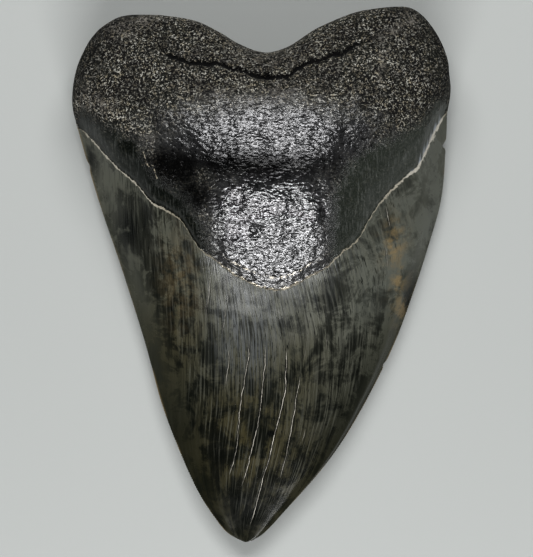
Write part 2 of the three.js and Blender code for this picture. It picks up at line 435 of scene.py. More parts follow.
    def height(self, face: Face, x: np.ndarray, y: np.ndarray, share: np.ndarray,
               row: np.ndarray) -> np.ndarray:
        """Heights of either face."""
        read = self.lingual_height if face is Face.LINGUAL else self.labial_height
        return read(x, y, share, row)


@dataclass(frozen=True)
class SurfaceRelief:
    """The fine relief and the marks on the tooth's surface, in millimetres."""

    cracks: tuple[Crack, ...] = (
        Crack((
            (-3.2, -17.3), (-3.4, -22), (-4.8, -30), (-5.9, -37.1), (-6.5, -45.7), (-7.6, -51.4),
            (-8.9, -55.3),
        )),
        Crack((
            (1.2, -18.7), (1, -24.2), (0.1, -33.8), (-1, -41.3), (-2.6, -47.6), (-3.7, -52.8),
            (-5.4, -58.3),
        )),
        Crack(
            ((7, -20), (6.5, -31.9), (5.1, -38.5), (3.7, -43.2), (1.8, -51.7), (0.4, -56.4), (-1.2, -62.2),
             (-2.3, -66.9), (-3.2, -69.3)), 1.0,
        ),
        Crack(((10.6, -27.3), (9.2, -36), (7.8, -44.3), (6.5, -50.9), (5.1, -56.1))),
        Crack(((-8.7, -19), (-8.9, -24.2), (-9.8, -30.5)), 0.5),
        Crack(((18, -15.7), (17.7, -20.9)), 0.5),
        Crack(((12.2, -19), (11.7, -23.4)), 0.5),
        Crack(((12.2, -41.8), (11.1, -46.2)), 0.6),
        Crack(((-13.6, 0), (-15, -11.8)), 0.45),
        Crack(((-8.7, -4.1), (-10.6, -16.2)), 0.35),
        Crack(((33.7, 19.3), (35.1, 12.4)), 0.8),
        Crack(((32.3, 14.6), (33.1, 10.5)), 0.5),
        Crack(((33.7, 8.8), (34.5, 1.7)), 0.5),
    )
    tan_stains: tuple[Spot, ...] = (
        (36.2, 8.8, 3.2, 6.5, 0.8), (37.6, -1.1, 2.6, 5, 0.7), (38.4, -8.8, 2.4, 4.5, 0.6),
        (-22, -1, 5, 12, 0.3), (-37.5, 66.8, 3.5, 2.5, 1), (-31.5, 69.5, 3.5, 1.8, 1),
        (40.5, 69.5, 2, 2.5, 1), (36.7, 65.8, 2.4, 2.4, 0.9), (32.6, 62.2, 2, 2.6, 0.8),
        (32, 55, 1.3, 5, 0.7), (-2, 49, 24, 3, 0.4), (2, 58, 26, 5, 0.3),
        (-48, 47, 2.5, 5, 0.5), (-43, 46, 4, 2.5, 0.6), (-31, 36, 5, 2, 0.6),
    )  # those on the root show as dust
    # three spots on the root are painted shade: the band across the middle of its swelling and the two
    # patches beside it on the left; the rest are dark stains
    dark_stains_and_shade: tuple[Spot, ...] = (
        (-36, 13, 6, 11, 1), (-38, 22, 6, 9, 0.5), (-30, 4, 6, 6, 0.45), (31, -9, 5, 6, 0.5),
        (-14, -12, 4, 9, 0.4), (-12, -48, 5, 12, 0.9), (-5, -64, 8, 10, 1), (-25, -22, 5, 8, 0.35),
        (20, -10, 4, 8, 0.35), (27, -30, 4, 7, 0.3),
        (2.6, -43.3, 0.9, 0.7, 3), (-47, 33, 3, 7, 0.9), (-42, 20, 2.5, 9, 0.6),
        (-25, 28, 11, 6, 1.1), (-18.5, 21.5, 6, 5, 1), (48, 14, 3, 18, 1), (41, -8, 3, 14, 0.9),
        (-3, 29, 24, 4.5, 0.8),
    )
    olive_stains: tuple[Spot, ...] = ((-2, -44, 15, 24, 0.9), (-22, -16, 9, 18, 0.55), (8, -28, 10, 14, 0.5))
    # the middle spot lies mostly on the crown, where it places the enamel's painted sheen
    polished: tuple[Spot, ...] = ((1, 36, 38, 12.5, 1), (-4, -12, 11, 20, 0.95), (3, 14, 24, 26, 1))
    left_band: tuple[Point, ...] = (
        (-50.5, 44.5), (-48, 45.5), (-42.5, 41.8), (-32, 36.2), (-30.3, 30.5), (-27.4, 26.4), (-20, 21),
        (-15, 14), (-13.6, 8), (-13.4, 2),
    )
    right_band: tuple[Point, ...] = (
        (51, 48.5), (47, 47.8), (43, 41.4), (35.3, 37.4), (28.5, 34.5), (22.5, 29.5), (19, 22),
        (18.2, 12), (18.2, 2),
    )
    flake_edges: tuple[tuple[Point, ...], ...] = (
        ((-31.4, 33.3), (-30.7, 30.5), (-30, 29.2), (-28.6, 29.4), (-28.2, 27.8), (-27.6, 25.9)),
        ((-32.2, 29.8), (-31, 29.6)),
    )
    pits: tuple[tuple[float, ...], ...] = (
        (1.5, 53.4, 1.6, 1.5), (17.3, 16.4, 1.3, 0.9), (-1.8, 12, 1.5, 0.7), (-11.6, 6.9, 1.6, 0.6),
        (9, 21, 2, 0.5), (-6, 20, 2.2, 0.5),
    )
    crack_reach: float = 1.6
    crack_clear: float = 1.0  # a crack is at its full strength up to this distance
    crack_waver: float = 0.2
    crack_waver_size: float = 2.6
    crack_waver_layers: int = 2
    crack_pattern: float = 7.3  # sets one crack's waver apart from the next one's
    crack_taper: float = 3.0
    crease_depth: float = 0.7
    crease_width: float = 0.75
    crease_waver: float = 1.1
    crease_waver_size: float = 5.0
    crease_waver_layers: int = 3
    crease_pattern: float = 3.1
    crease_fade: Point = (24, 33)
    crease_away: float = 3.0  # added to the distance where the crease has faded out
    grain_size: float = 2.4
    grain_layers: int = 3
    grain_height: float = 0.18
    grain_start: Ramp = (0.0, 1.2)  # read past the enamel's end
    grain_on_enamel: float = 0.1
    grain_squeeze: float = 0.75  # how far the grain is drawn out where the root is worn
    grain_wear: float = 0.8  # how much higher it is there
    band_smooth: float = 0.8
    band_start: Ramp = (0.0, 1.5)  # read inside the band
    ripple_size: float = 1.3
    ripple_height: float = 0.07
    ripple_squeeze: float = 0.85
    ripple_wear: Ramp = (0.2, 0.75)
    swell_size: float = 11.0
    swell_layers: int = 2
    swell_height: float = 0.6
    swell_on_enamel: float = 0.2
    swell_start: Ramp = (0.0, 8.0)  # read past the enamel's end
    line_places: tuple[float, ...] = (-51, -48, -42, -30, -20, -8, 15, 30, 38, 42, 44, 48.5, 51)
    line_weights: tuple[float, ...] = (0, 0.9, 1, 1, 0.65, 0.65, 0.65, 0.8, 1, 1.5, 2.2, 2.4, 0.3)

    def crack_field(self, x: np.ndarray, y: np.ndarray) -> tuple[np.ndarray, np.ndarray]:
        """Measures how far each place lies from the nearest crack.

        Args:
            x: Places across.
            y: Places along.

        Returns:
            The distance, which changes sign at the crack, and the crack's strength, which is 0 away from it.
        """
        distance = np.full(x.shape, self.crack_reach)
        strength = np.zeros(x.shape)
        for number, crack in enumerate(self.cracks):
            path_y = np.array([point[1] for point in crack.path])[::-1]
            path_x = np.array([point[0] for point in crack.path])[::-1]
            pattern = np.full(y.shape, self.crack_pattern * number)
            wave = noise_at(y, pattern, 0.0, self.crack_waver_size, self.crack_waver_layers)
            away = x - np.interp(y, path_y, path_x) - self.crack_waver * wave
            ends = np.clip(np.minimum(y - path_y[0], path_y[-1] - y) / self.crack_taper, 0.0, 1.0)
            near = (np.abs(away) < np.abs(distance)) & (ends > 0.0)
            distance = np.where(near, away, distance)
            faded = smooth_step(np.abs(away), self.crack_clear, self.crack_reach)
            strength = np.where(near, crack.pale * ends * (1.0 - faded), strength)
        return distance, strength

    def stain_and_shade_tints(self, x: np.ndarray, y: np.ndarray) -> np.ndarray:
        """How strong the tan stains, the dark stains with the painted shade, and the olive stains are at each
        place.
        """
        kinds = (self.tan_stains, self.dark_stains_and_shade, self.olive_stains)
        return np.stack([np.maximum(0.0, strongest_spot(x, y, spots)) for spots in kinds], axis=-1)

    def inside_band(self, x: np.ndarray, y: np.ndarray) -> np.ndarray:
        """How far inside the smooth band each place lies, negative on the grain above it and the tongue."""
        inside = np.full(x.shape, -np.inf)
        for path, side in ((self.left_band, -1.0), (self.right_band, 1.0)):
            away = distance_to_path(x, y, path)
            ordered = sorted(path)
            top = np.interp(x, [point[0] for point in ordered], [point[1] for point in ordered])
            bound = path[-2][0]
            within = (y < top) & (side * (x - bound) > 0.0)
            inside = np.maximum(inside, np.where(within, away, -away))
        return inside

    def crease_distance(self, x: np.ndarray, along: np.ndarray) -> np.ndarray:
        """Measures how far each place lies from the ragged crease across the top of the root.

        Args:
            x: Places across.
            along: Distances from the crease's smooth middle line.

        Returns:
            The distance, which grows where the crease fades out.
        """
        pattern = np.full(x.shape, self.crease_pattern)
        wave = noise_at(x, pattern, 0.0, self.crease_waver_size, self.crease_waver_layers)
        distance = along - self.crease_waver * wave
        return distance + np.sign(distance) * self.crease_away * smooth_step(np.abs(x), *self.crease_fade)

    def flake_distance(self, x: np.ndarray, y: np.ndarray) -> np.ndarray:
        """Measures how far each place lies from a flaked edge."""
        return np.minimum.reduce([distance_to_path(x, y, path) for path in self.flake_edges])

    def line_weight(self, x: np.ndarray) -> np.ndarray:
        """How wide the pale line at the enamel's end is at each place across."""
        return np.interp(x, self.line_places, self.line_weights)

    def polish(self, x: np.ndarray, y: np.ndarray) -> np.ndarray:
        """How far the middle of the root is worn smooth at each place, and where the crown below it gets a
        painted sheen.
        """
        return strongest_spot(x, y, self.polished)

    def pit_depth(self, x: np.ndarray, y: np.ndarray) -> np.ndarray:
        """How deep the round pits are at each place."""
        return sum(
            depth * hill(x - at_x, y - at_y, radius, radius) for at_x, at_y, radius, depth in self.pits
        )


@dataclass
class SurfaceGrid:
    """One face's grid of points with what its finish reads from them."""

    place: np.ndarray
    growth: np.ndarray
    regions: np.ndarray
    marks: np.ndarray
    # tan stains, dark stains with painted shade, and olive stains
    stains: np.ndarray
    wear: np.ndarray

    def part(self, rows: slice | np.ndarray, columns: slice | np.ndarray) -> np.ndarray:
        """The chosen rows and columns, with all values of a point side by side."""
        values = (self.place, self.growth, self.regions, self.marks, self.stains, self.wear)
        return np.concatenate([value[rows][:, columns] for value in values], axis=-1)


@dataclass
class ToothShell:
    """The tooth's fine skin: a closed mesh of both faces with sharp, serrated cutting edges."""

    form: ToothForm = field(default_factory=ToothForm)
    relief: SurfaceRelief = field(default_factory=SurfaceRelief)
    crown_rows: int = 180
    root_rows: int = 110
    lingual_columns: int = 200
    labial_columns: int = 100
    edge_steps: int = 4  # points of the cutting edge for each row of the crown
    serration_pitch: float = 0.7
    serration_depth: float = 0.3
    serration_shape: float = 0.6  # below 1 the teeth are broad, with narrow gaps
    serration_ends: Ramp = (0.02, 0.16)
    serration_stop: Ramp = (0.985, 1.0)
    sharpness: Point = (0.65, 0.5)  # the mean of the serrations' sharpness, and how far it varies
    least_sharpness: float = 0.15
    sharpness_patterns: Point = (4.0, 13.0)  # for the left edge and the right
    sharpness_size: float = 5.0
    sharpness_layers: int = 2
    chips: tuple[tuple[float, ...], ...] = (
        (51, 36.4, 1.2, 0.9), (51.8, 47, 0.9, 1.6), (-48, 30.6, 0.4, 1.2), (34.6, -24.6, 0.5, 0.8),
    )  # X, Y, depth and reach
    margin: float = 0.012  # the serrated strip's share of the width
    base_crowding: float = 0.7
    side_crowding: float = 0.75
    side_rows: Ramp = (1.0, 1.4)
    labial_pattern: float = 60.0  # sets the labial face's noise apart
    root_length: float = 48.0  # this and the next turn rows into millimetres past the enamel's end
    crown_length: float = 80.0
    crease_length: float = 52.0  # turns rows into millimetres past the crease
    edge_rise: float = 4.0  # how soon the relief reaches its full size, away from the outline
    tip_rise: float = 12.0  # and away from the tip
    growth_widths: tuple[float, ...] = (35.0, 70.0, 10.0)  # at the tip, and added on crown and root
    labial_line: float = 0.4
    far_away: float = 9.0
    weld: float = 2e-4
    sliver: float = 2e-5
    sharp_angle: float = 48.0

    ATTRIBUTES = ("growth", "regions", "marks", "stains", "wear")

    def row_places(self) -> np.ndarray:
        """The rows from the tip to the base, closer together where the base turns over."""
        crown = np.linspace(0.0, 1.0, self.crown_rows + 1)
        even = np.linspace(0.0, 1.0, self.root_rows + 1)[1:]
        return np.concatenate([crown, 1.0 + blend(even, np.sin(even * math.pi / 2.0), self.base_crowding)])

    def column_shares(self, columns: int, rows: np.ndarray) -> np.ndarray:
        """Where the columns stand: evenly on the crown, and crowded towards the outline on the root.

        Args:
            columns: How many steps there are across.
            rows: The rows.

        Returns:
            Shares of the width, with a row for each row.
        """
        inner = blend(self.margin, 1.0 - self.margin, np.linspace(0.0, 1.0, columns - 1))
        even = np.concatenate(([0.0], inner, [1.0]))
        crowded = (1.0 - np.cos(np.pi * np.linspace(0.0, 1.0, columns + 1))) / 2.0
        crowding = self.side_crowding * smooth_step(rows, *self.side_rows)
        return blend(even[None, :], crowded[None, :], crowding[:, None])

    def face_grid(self, face: Face, columns: int) -> SurfaceGrid:
        """Works out a face's points, its fine relief and the values that its finish reads.

        Args:
            face: Which face.
            columns: How many steps there are across.

        Returns:
            The face's grid.
        """
        rows = self.row_places()
        share = self.column_shares(columns, rows)
        row = np.broadcast_to(rows[:, None], share.shape)
        lingual = face is Face.LINGUAL
        plan = self.form.plan(face, share, row)
        x, y = plan[..., 0], plan[..., 1]
        z = self.form.height(face, x, y, share, row)
        place = np.stack([x, y, z], axis=-1)
        seed = 0.0 if lingual else self.labial_pattern
        none, far = np.zeros(x.shape), np.full(x.shape, self.far_away)

        past = (row - 1.0) * np.where(row > 1.0, self.root_length, self.crown_length)
        past_crease = (row - 1.0 - self.form.crease_at) * self.crease_length
        band = self.relief.inside_band(x, y) if lingual else -far
        polish = self.relief.polish(x, y) if lingual else none
        crease = self.relief.crease_distance(x, past_crease) if lingual else far
        lift = self.fine_lift(x, y, z + seed, past, band, polish, crease)
        if lingual:
            lift = lift - self.relief.pit_depth(x, y)
        fade = np.clip(self.edge_rise * self.form.fullness(share, row, 1.0), 0.0, 1.0)
        fade = fade * np.clip(row * self.tip_rise, 0.0, 1.0)
        place = place + self.normals(place, face) * (lift * fade)[..., None]
        if not lingual:
            place[..., 2] = np.maximum(place[..., 2], self.form.worn)

        at_tip, on_crown, on_root = self.growth_widths
        spread = at_tip + on_crown * np.minimum(row, 1.0) + on_root * np.maximum(row - 1.0, 0.0)
        growth = np.stack([(share - 0.5) * spread, y, np.full(x.shape, seed)], axis=-1)
        outline = np.minimum(x - x[:, :1], x[:, -1:] - x)
        crack, strength = self.relief.crack_field(x, y) if lingual else (far, none)
        line = self.relief.line_weight(x) if lingual else np.full(x.shape, self.labial_line)
        flake = self.relief.flake_distance(x, y) if lingual else far
        return SurfaceGrid(
            place=place,
            growth=growth,
            regions=np.stack([past, band, polish], axis=-1),
            marks=np.stack([crack, strength, line], axis=-1),
            stains=self.relief.stain_and_shade_tints(x, y) if lingual else np.zeros((*x.shape, 3)),
            wear=np.stack([crease, outline, flake], axis=-1),
        )

    def fine_lift(self, x: np.ndarray, y: np.ndarray, z: np.ndarray, past: np.ndarray, band: np.ndarray,
                  polish: np.ndarray, crease: np.ndarray) -> np.ndarray:
        """How far the fine relief lifts the surface: grain on the root, faint swells on the enamel.

        Args:
            x: Places across.
            y: Places along.
            z: Heights, with a number of millimetres added that picks a pattern.
            past: Distances past the enamel's end.
            band: Distances inside the smooth band.
            polish: Where the root is polished, from 0 to 1.
            crease: Distances from the crease.

        Returns:
            The lift, in millimetres.
        """
        relief = self.relief
        squeezed = x * blend(1.0, relief.grain_squeeze, polish)
        grain = noise_at(squeezed, y, z, relief.grain_size, relief.grain_layers)
        on_root = smooth_step(past, *relief.grain_start)
        rough = on_root * (1.0 - relief.band_smooth * smooth_step(band, *relief.band_start))
        grainy = blend(relief.grain_on_enamel, 1.0 + relief.grain_wear * polish, rough)
        lift = relief.grain_height * grainy * grain
        swell = noise_at(x, y, z, relief.swell_size, relief.swell_layers)
        swollen = blend(relief.swell_on_enamel, 1.0, smooth_step(past, *relief.swell_start))
        lift = lift + relief.swell_height * swollen * swell
        worn = smooth_step(polish, *relief.ripple_wear) * on_root
        ripple = noise_at(x * relief.ripple_squeeze, y, z, relief.ripple_size)
        lift = lift + relief.ripple_height * worn * ripple
        return lift - relief.crease_depth * np.exp(-((crease / relief.crease_width) ** 2))

    def normals(self, place: np.ndarray, face: Face) -> np.ndarray:
        """Outward directions of a grid's surface."""
        with np.errstate(invalid="ignore", divide="ignore"):
            along = np.gradient(place, axis=0)
            across = np.gradient(place, axis=1)
            normal = np.cross(across, along)
            normal /= np.linalg.norm(normal, axis=-1, keepdims=True)
        return np.nan_to_num(normal) * (1.0 if face is Face.LINGUAL else -1.0)

    def strip(self, grid: SurfaceGrid, outer: np.ndarray, inner: int) -> np.ndarray:
        """A border strip of the crown, with several outer points to each of the body's rows.

        Args:
            grid: The face's grid.
            outer: The outer points, with all their values.
            inner: The body's column beside the strip.

        Returns:
            A grid of two columns.
        """
        nearest = np.round(np.arange(len(outer)) / self.edge_steps).astype(int)
        body = grid.part(nearest, slice(inner, inner + 1))
        return np.concatenate([outer[:, None], body], axis=1)

    def cutting_edge(self, grid: SurfaceGrid, right: bool) -> np.ndarray:
        """The points of one cutting edge, which steps in and out, with all their values.

        Args:
            grid: A face's grid, whose own border points the edge passes through.
            right: Whether it is the right edge.

        Returns:
            The edge's points, from the tip to the end of the enamel.
        """
        steps = self.crown_rows * self.edge_steps
        row = np.linspace(0.0, 1.0, steps + 1)
        share = np.full(row.shape, 1.0 if right else 0.0)
        plan = self.form.plan(Face.LINGUAL, share[:, None], row[:, None])[:, 0]
        length = np.concatenate(([0.0], np.cumsum(np.linalg.norm(np.diff(plan, axis=0), axis=1))))
        scallop = np.abs(np.sin(math.pi * length / self.serration_pitch)) ** self.serration_shape
        pattern = np.full(length.shape, self.sharpness_patterns[right])
        varied = noise_at(length, pattern, 0.0, self.sharpness_size, self.sharpness_layers)
        sharp = np.clip(self.sharpness[0] + self.sharpness[1] * varied, self.least_sharpness, 1.0)
        ends = smooth_step(row, *self.serration_ends) * (1.0 - smooth_step(row, *self.serration_stop))
        inwards = (1.0 - scallop) * self.serration_depth * sharp * ends
        inwards = inwards + self.chip_depth(plan) * ends
        outer = grid.part(slice(0, self.crown_rows + 1), slice(-1, None) if right else slice(0, 1))[:, 0]
        coarse = np.linspace(0.0, 1.0, self.crown_rows + 1)
        values = np.stack([np.interp(row, coarse, column) for column in outer.T], axis=-1)
        values[:, 0] = plan[:, 0] + inwards * (-1.0 if right else 1.0)
        values[:, 1] = plan[:, 1]
        values[:, 2] = self.form.rim_height(row)
        return values

    def chip_depth(self, plan: np.ndarray) -> np.ndarray:
        """How far the edge is broken in at each of its points."""
        return sum(
            depth * hill(plan[:, 0] - x, plan[:, 1] - y, reach, reach) for x, y, depth, reach in self.chips
        )

    def sheets(self, face: Face, columns: int) -> list[np.ndarray]:
        """The grids that make up one face: its crown, its root and its two serrated borders.

        Args:
            face: Which face.
            columns: How many steps there are across.

        Returns:
            Grids of points with all their values.
        """
        grid = self.face_grid(face, columns)
        crown = grid.part(slice(0, self.crown_rows + 1), slice(1, columns))
        left = self.strip(grid, self.cutting_edge(grid, False), 1)
        right = self.strip(grid, self.cutting_edge(grid, True), columns - 1)[:, ::-1]
        last = self.crown_rows + self.root_rows
        if columns == self.lingual_columns:
            return [crown, grid.part(slice(self.crown_rows, last + 1), slice(None)), left, right]
        root = grid.part(slice(self.crown_rows, last), slice(None))
        return [crown, root, left, right, self.base_strip(grid, last)]

    def base_strip(self, grid: SurfaceGrid, last: int) -> np.ndarray:
        """The labial face's last strip, whose outer points are those of the finer lingual face.

        Args:
            grid: The labial grid.
            last: The row of the base.

        Returns:
            A grid of two rows.
        """
        fine = self.face_grid(Face.LINGUAL, self.lingual_columns).part(slice(last, last + 1), slice(None))
        steps = self.lingual_columns // self.labial_columns
        nearest = np.round(np.arange(self.lingual_columns + 1) / steps).astype(int)
        return np.concatenate([grid.part(slice(last - 1, last), nearest), fine], axis=0)

    def build(self) -> bpy.types.Object:
        """Makes the tooth's mesh.

        Returns:
            The tooth, at its place.
        """
        shape = bmesh.new()
        source = shape.verts.layers.int.new("source")
        tables: list[np.ndarray] = []
        count = 0
        for face, columns in ((Face.LINGUAL, self.lingual_columns), (Face.LABIAL, self.labial_columns)):
            for table in self.sheets(face, columns):
                rows, across, values = table.shape
                made = bmesh.ops.create_grid(shape, x_segments=across - 1, y_segments=rows - 1, size=0.5)
                flat = table.reshape(-1, values)
                for offset, (vertex, place) in enumerate(zip(made["verts"], flat[:, :3].tolist())):
                    vertex.co = place
                    vertex[source] = count + offset
                if face is Face.LABIAL:
                    faces = {near for vertex in made["verts"] for near in vertex.link_faces}
                    bmesh.ops.reverse_faces(shape, faces=list(faces))
                tables.append(flat)
                count += len(flat)
        bmesh.ops.remove_doubles(shape, verts=shape.verts[:], dist=self.weld)
        bmesh.ops.dissolve_degenerate(shape, edges=shape.edges[:], dist=self.sliver)
        folded = [vertex for vertex in shape.verts if len(vertex.link_edges) == 2]
        bmesh.ops.dissolve_verts(shape, verts=folded)
        mesh = bpy.data.meshes.new("tooth_surface")
        shape.to_mesh(mesh)
        shape.free()
        self.fit_to_solid(mesh)
        self.write_attributes(mesh, np.concatenate(tables))
        mesh.polygons.foreach_set("use_smooth", np.ones(len(mesh.polygons), bool))
        mesh.set_sharp_from_angle(angle=math.radians(self.sharp_angle))
        tooth = bpy.data.objects.new("fossil_tooth", mesh)
        bpy.context.scene.collection.objects.link(tooth)
        return tooth

    def fit_to_solid(self, mesh: bpy.types.Mesh) -> None:
        """Scales the mesh so that it fills the solid's box."""
        places = np.zeros(len(mesh.vertices) * 3)
        mesh.vertices.foreach_get("co", places)
        places = places.reshape(-1, 3)
        low, high = places.min(axis=0), places.max(axis=0)
        wanted_low, wanted_high = np.array(CAD_LOW), np.array(CAD_HIGH)
        places = (places - low) / (high - low) * (wanted_high - wanted_low) + wanted_low
        mesh.vertices.foreach_set("co", places.ravel())

    def write_attributes(self, mesh: bpy.types.Mesh, table: np.ndarray) -> None:
        """Gives each vertex the values that the finish reads.

        Args:
            mesh: The tooth's mesh, whose vertices know their line of the table.
            table: The values of each point of the grids.
        """
        source = np.zeros(len(mesh.vertices), np.int32)
        mesh.attributes["source"].data.foreach_get("value", source)
        for number, name in enumerate(self.ATTRIBUTES):
            values = table[source, 3 + 3 * number : 6 + 3 * number]
            layer = mesh.attributes.new(name, "FLOAT_VECTOR", "POINT")
            layer.data.foreach_set("vector", values.astype(np.float32).ravel())
        mesh.attributes.remove(mesh.attributes["source"])


@dataclass(frozen=True)
class Patches:
    """Soft patches that are drawn from noise.

    Fields:
        noise: The noise's settings, as NodePad.noise takes them.
        ramp: The noise where a patch starts and where it is full, and how strong it is there.
    """

    noise: Settings
    ramp: Ramp


class NodePad:
    """Adds nodes to one tree and joins them."""

    def __init__(self, tree: Tree) -> None:
        """Starts on a tree."""
        self.tree = tree

    def add(self, kind: str, settings: dict | None = None, inputs: dict | None = None) -> bpy.types.Node:
        """Adds a node.

        Args:
            kind: The node's type.
            settings: Its properties.
            inputs: What its inputs hold or are joined to, by name or number.

        Returns:
            The node.
        """
        node = self.tree.nodes.new(kind)
        for name, value in (settings or {}).items():
            setattr(node, name, value)
        for name, value in (inputs or {}).items():
            self.feed(node.inputs[name], value)
        return node

    def feed(self, socket: Socket, value: object) -> None:
        """Joins a socket to an output, or sets its value."""
        if isinstance(value, Socket):
            self.tree.links.new(value, socket)
        else:
            socket.default_value = value

    def chain(self, operation: str, values: tuple[object, ...]) -> Socket:
        """Carries one operation through several numbers.

        Args:
            operation: The operation.
            values: The numbers. Each is taken with the result of those before it.

        Returns:
            The last result.
        """
        result = values[0]
        for value in values[1:]:
            result = self.add("ShaderNodeMath", {"operation": operation}, {0: result, 1: value}).outputs[0]
        return result

    def times(self, *values: object) -> Socket:
        """The product of numbers."""
        return self.chain("MULTIPLY", values)

    def plus(self, *values: object) -> Socket:
        """The sum of numbers."""
        return self.chain("ADD", values)

    def less(self, *values: object) -> Socket:
        """A number less those after it."""
        return self.chain("SUBTRACT", values)

    def over(self, *values: object) -> Socket:
        """A number divided by those after it."""
        return self.chain("DIVIDE", values)

    def most(self, *values: object) -> Socket:
        """The largest of numbers."""
        return self.chain("MAXIMUM", values)

    def least(self, *values: object) -> Socket:
        """The smallest of numbers."""
        return self.chain("MINIMUM", values)

    def size_of(self, value: object) -> Socket:
        """A number without its sign."""
        return self.chain("ABSOLUTE", (value, 0.0))

    def vector(self, operation: str, first: object, second: object) -> Socket:
        """The result of an operation on two vectors."""
        return self.add("ShaderNodeVectorMath", {"operation": operation}, {0: first, 1: second}).outputs[0]

    def scaled(self, vector: object, scale: object) -> Socket:
        """A vector times a number."""
        inputs = {0: vector, "Scale": scale}
        return self.add("ShaderNodeVectorMath", {"operation": "SCALE"}, inputs).outputs[0]

    def joined(self, x: object, y: object, z: object) -> Socket:
        """A vector made of three numbers."""
        return self.add("ShaderNodeCombineXYZ", {}, {0: x, 1: y, 2: z}).outputs[0]

    def parts(self, vector: object) -> list[Socket]:
        """A vector's three numbers."""
        return list(self.add("ShaderNodeSeparateXYZ", {}, {0: vector}).outputs)

    def attribute(self, name: str) -> list[Socket]:
        """The whole of one of the tooth's attributes and its three numbers."""
        whole = self.add("ShaderNodeAttribute", {"attribute_name": name}).outputs["Vector"]
        return [whole, *self.parts(whole)]

    def ease(self, value: object, low: float, high: float, start: float = 0.0, end: float = 1.0) -> Socket:
        """Maps a number smoothly from one range to another.

        Args:
            value: The number.
            low: Where the result starts to change.
            high: Where it stops.
            start: The result at low.
            end: The result at high.

        Returns:
            The mapped number.
        """
        inputs = {"Value": value, "From Min": low, "From Max": high, "To Min": start, "To Max": end}
        return self.add("ShaderNodeMapRange", {"interpolation_type": "SMOOTHSTEP"}, inputs).outputs[0]

    def mix(self, share: object, first: object, second: object) -> Socket:
        """Mixes two numbers."""
        return self.add("ShaderNodeMix", {"data_type": "FLOAT"}, {0: share, 2: first, 3: second}).outputs[0]

    def tint(self, share: object, first: object, second: object) -> Socket:
        """Mixes two colours.

        Args:
            share: How much of the second there is.
            first: The first colour.
            second: The second colour.

        Returns:
            The mixed colour.
        """
        first, second = (value if isinstance(value, Socket) else (*value, 1.0) for value in (first, second))
        settings = {"data_type": "RGBA", "blend_type": "MIX", "clamp_factor": True}
        return self.add("ShaderNodeMix", settings, {0: share, 6: first, 7: second}).outputs[2]

    def noise(self, place: object, scale: float, detail: float, roughness: float = 0.5,
              distortion: float = 0.0) -> Socket:
        """Smooth noise from 0 to 1.

        Args:
            place: Where to read it.
            scale: How fine it is.
            detail: How many finer layers it has.
            roughness: How strong those layers are.
            distortion: How much it is curled.

        Returns:
            The noise.
        """
        inputs = {
            "Vector": place, "Scale": scale, "Detail": detail, "Roughness": roughness,
            "Distortion": distortion,
        }
        return self.add("ShaderNodeTexNoise", {}, inputs).outputs[0]


class ToothPad(NodePad):
    """The pad of the tooth's own material, which knows the places on the tooth and the two node groups."""

    def __init__(self, tree: Tree, grain: Tree, fibres: Tree) -> None:
        """Starts on the material's tree.

        Args:
            tree: The tree.
            grain: The group that draws grain.
            fibres: The group that draws fibres.
        """
        super().__init__(tree)
        self.grain_tree = grain
        self.fibre_tree = fibres
        spot = self.add("ShaderNodeTexCoord").outputs["Object"]
        self.place = self.vector("MULTIPLY", spot, (1.0 / MM,) * 3)
        self.across = self.parts(self.place)[0]
        self.growth = self.attribute("growth")[0]

    def grain(self, size: Point) -> dict[str, Socket]:
        """Mineral grain of a size and a stretch."""
        inputs = {"Place": self.place, "Size": size[0], "Stretch": size[1]}
        return dict(self.add("ShaderNodeGroup", {"node_tree": self.grain_tree}, inputs).outputs.items())

    def fibres(self, size: Point) -> dict[str, Socket]:
        """Fibres of a width and a length."""
        inputs = {"Growth": self.growth, "Width": size[0], "Length": size[1]}
        return dict(self.add("ShaderNodeGroup", {"node_tree": self.fibre_tree}, inputs).outputs.items())

    def patches(self, kind: Patches) -> Socket:
        """Soft patches, from 0 to 1 where the ramp says nothing else."""
        return self.ease(self.noise(self.place, *kind.noise), *kind.ramp)

    def swing(self, settings: Settings, height: float) -> Socket:
        """Noise that swings about zero, by up to half the height to each side."""
        return self.times(self.less(self.noise(self.place, *settings), NOISE_MEAN), height)


def new_group(name: str, inputs: dict[str, str], outputs: tuple[str, ...]) -> tuple[NodePad, dict, dict]:
    """Starts a shader node group.

    Args:
        name: Its name.
        inputs: Its inputs' names and socket types.
        outputs: Its outputs' names, which are numbers.

    Returns:
        A pad for its nodes, its inputs and the sockets that its outputs are fed at.
    """
    tree = bpy.data.node_groups.new(name, "ShaderNodeTree")
    for socket, kind in inputs.items():
        tree.interface.new_socket(name=socket, in_out="INPUT", socket_type=kind)
    for socket in outputs:
        tree.interface.new_socket(name=socket, in_out="OUTPUT", socket_type="NodeSocketFloat")
    pad = NodePad(tree)
    given, made = pad.add("NodeGroupInput").outputs, pad.add("NodeGroupOutput").inputs
    return pad, dict(given.items()), dict(made.items())


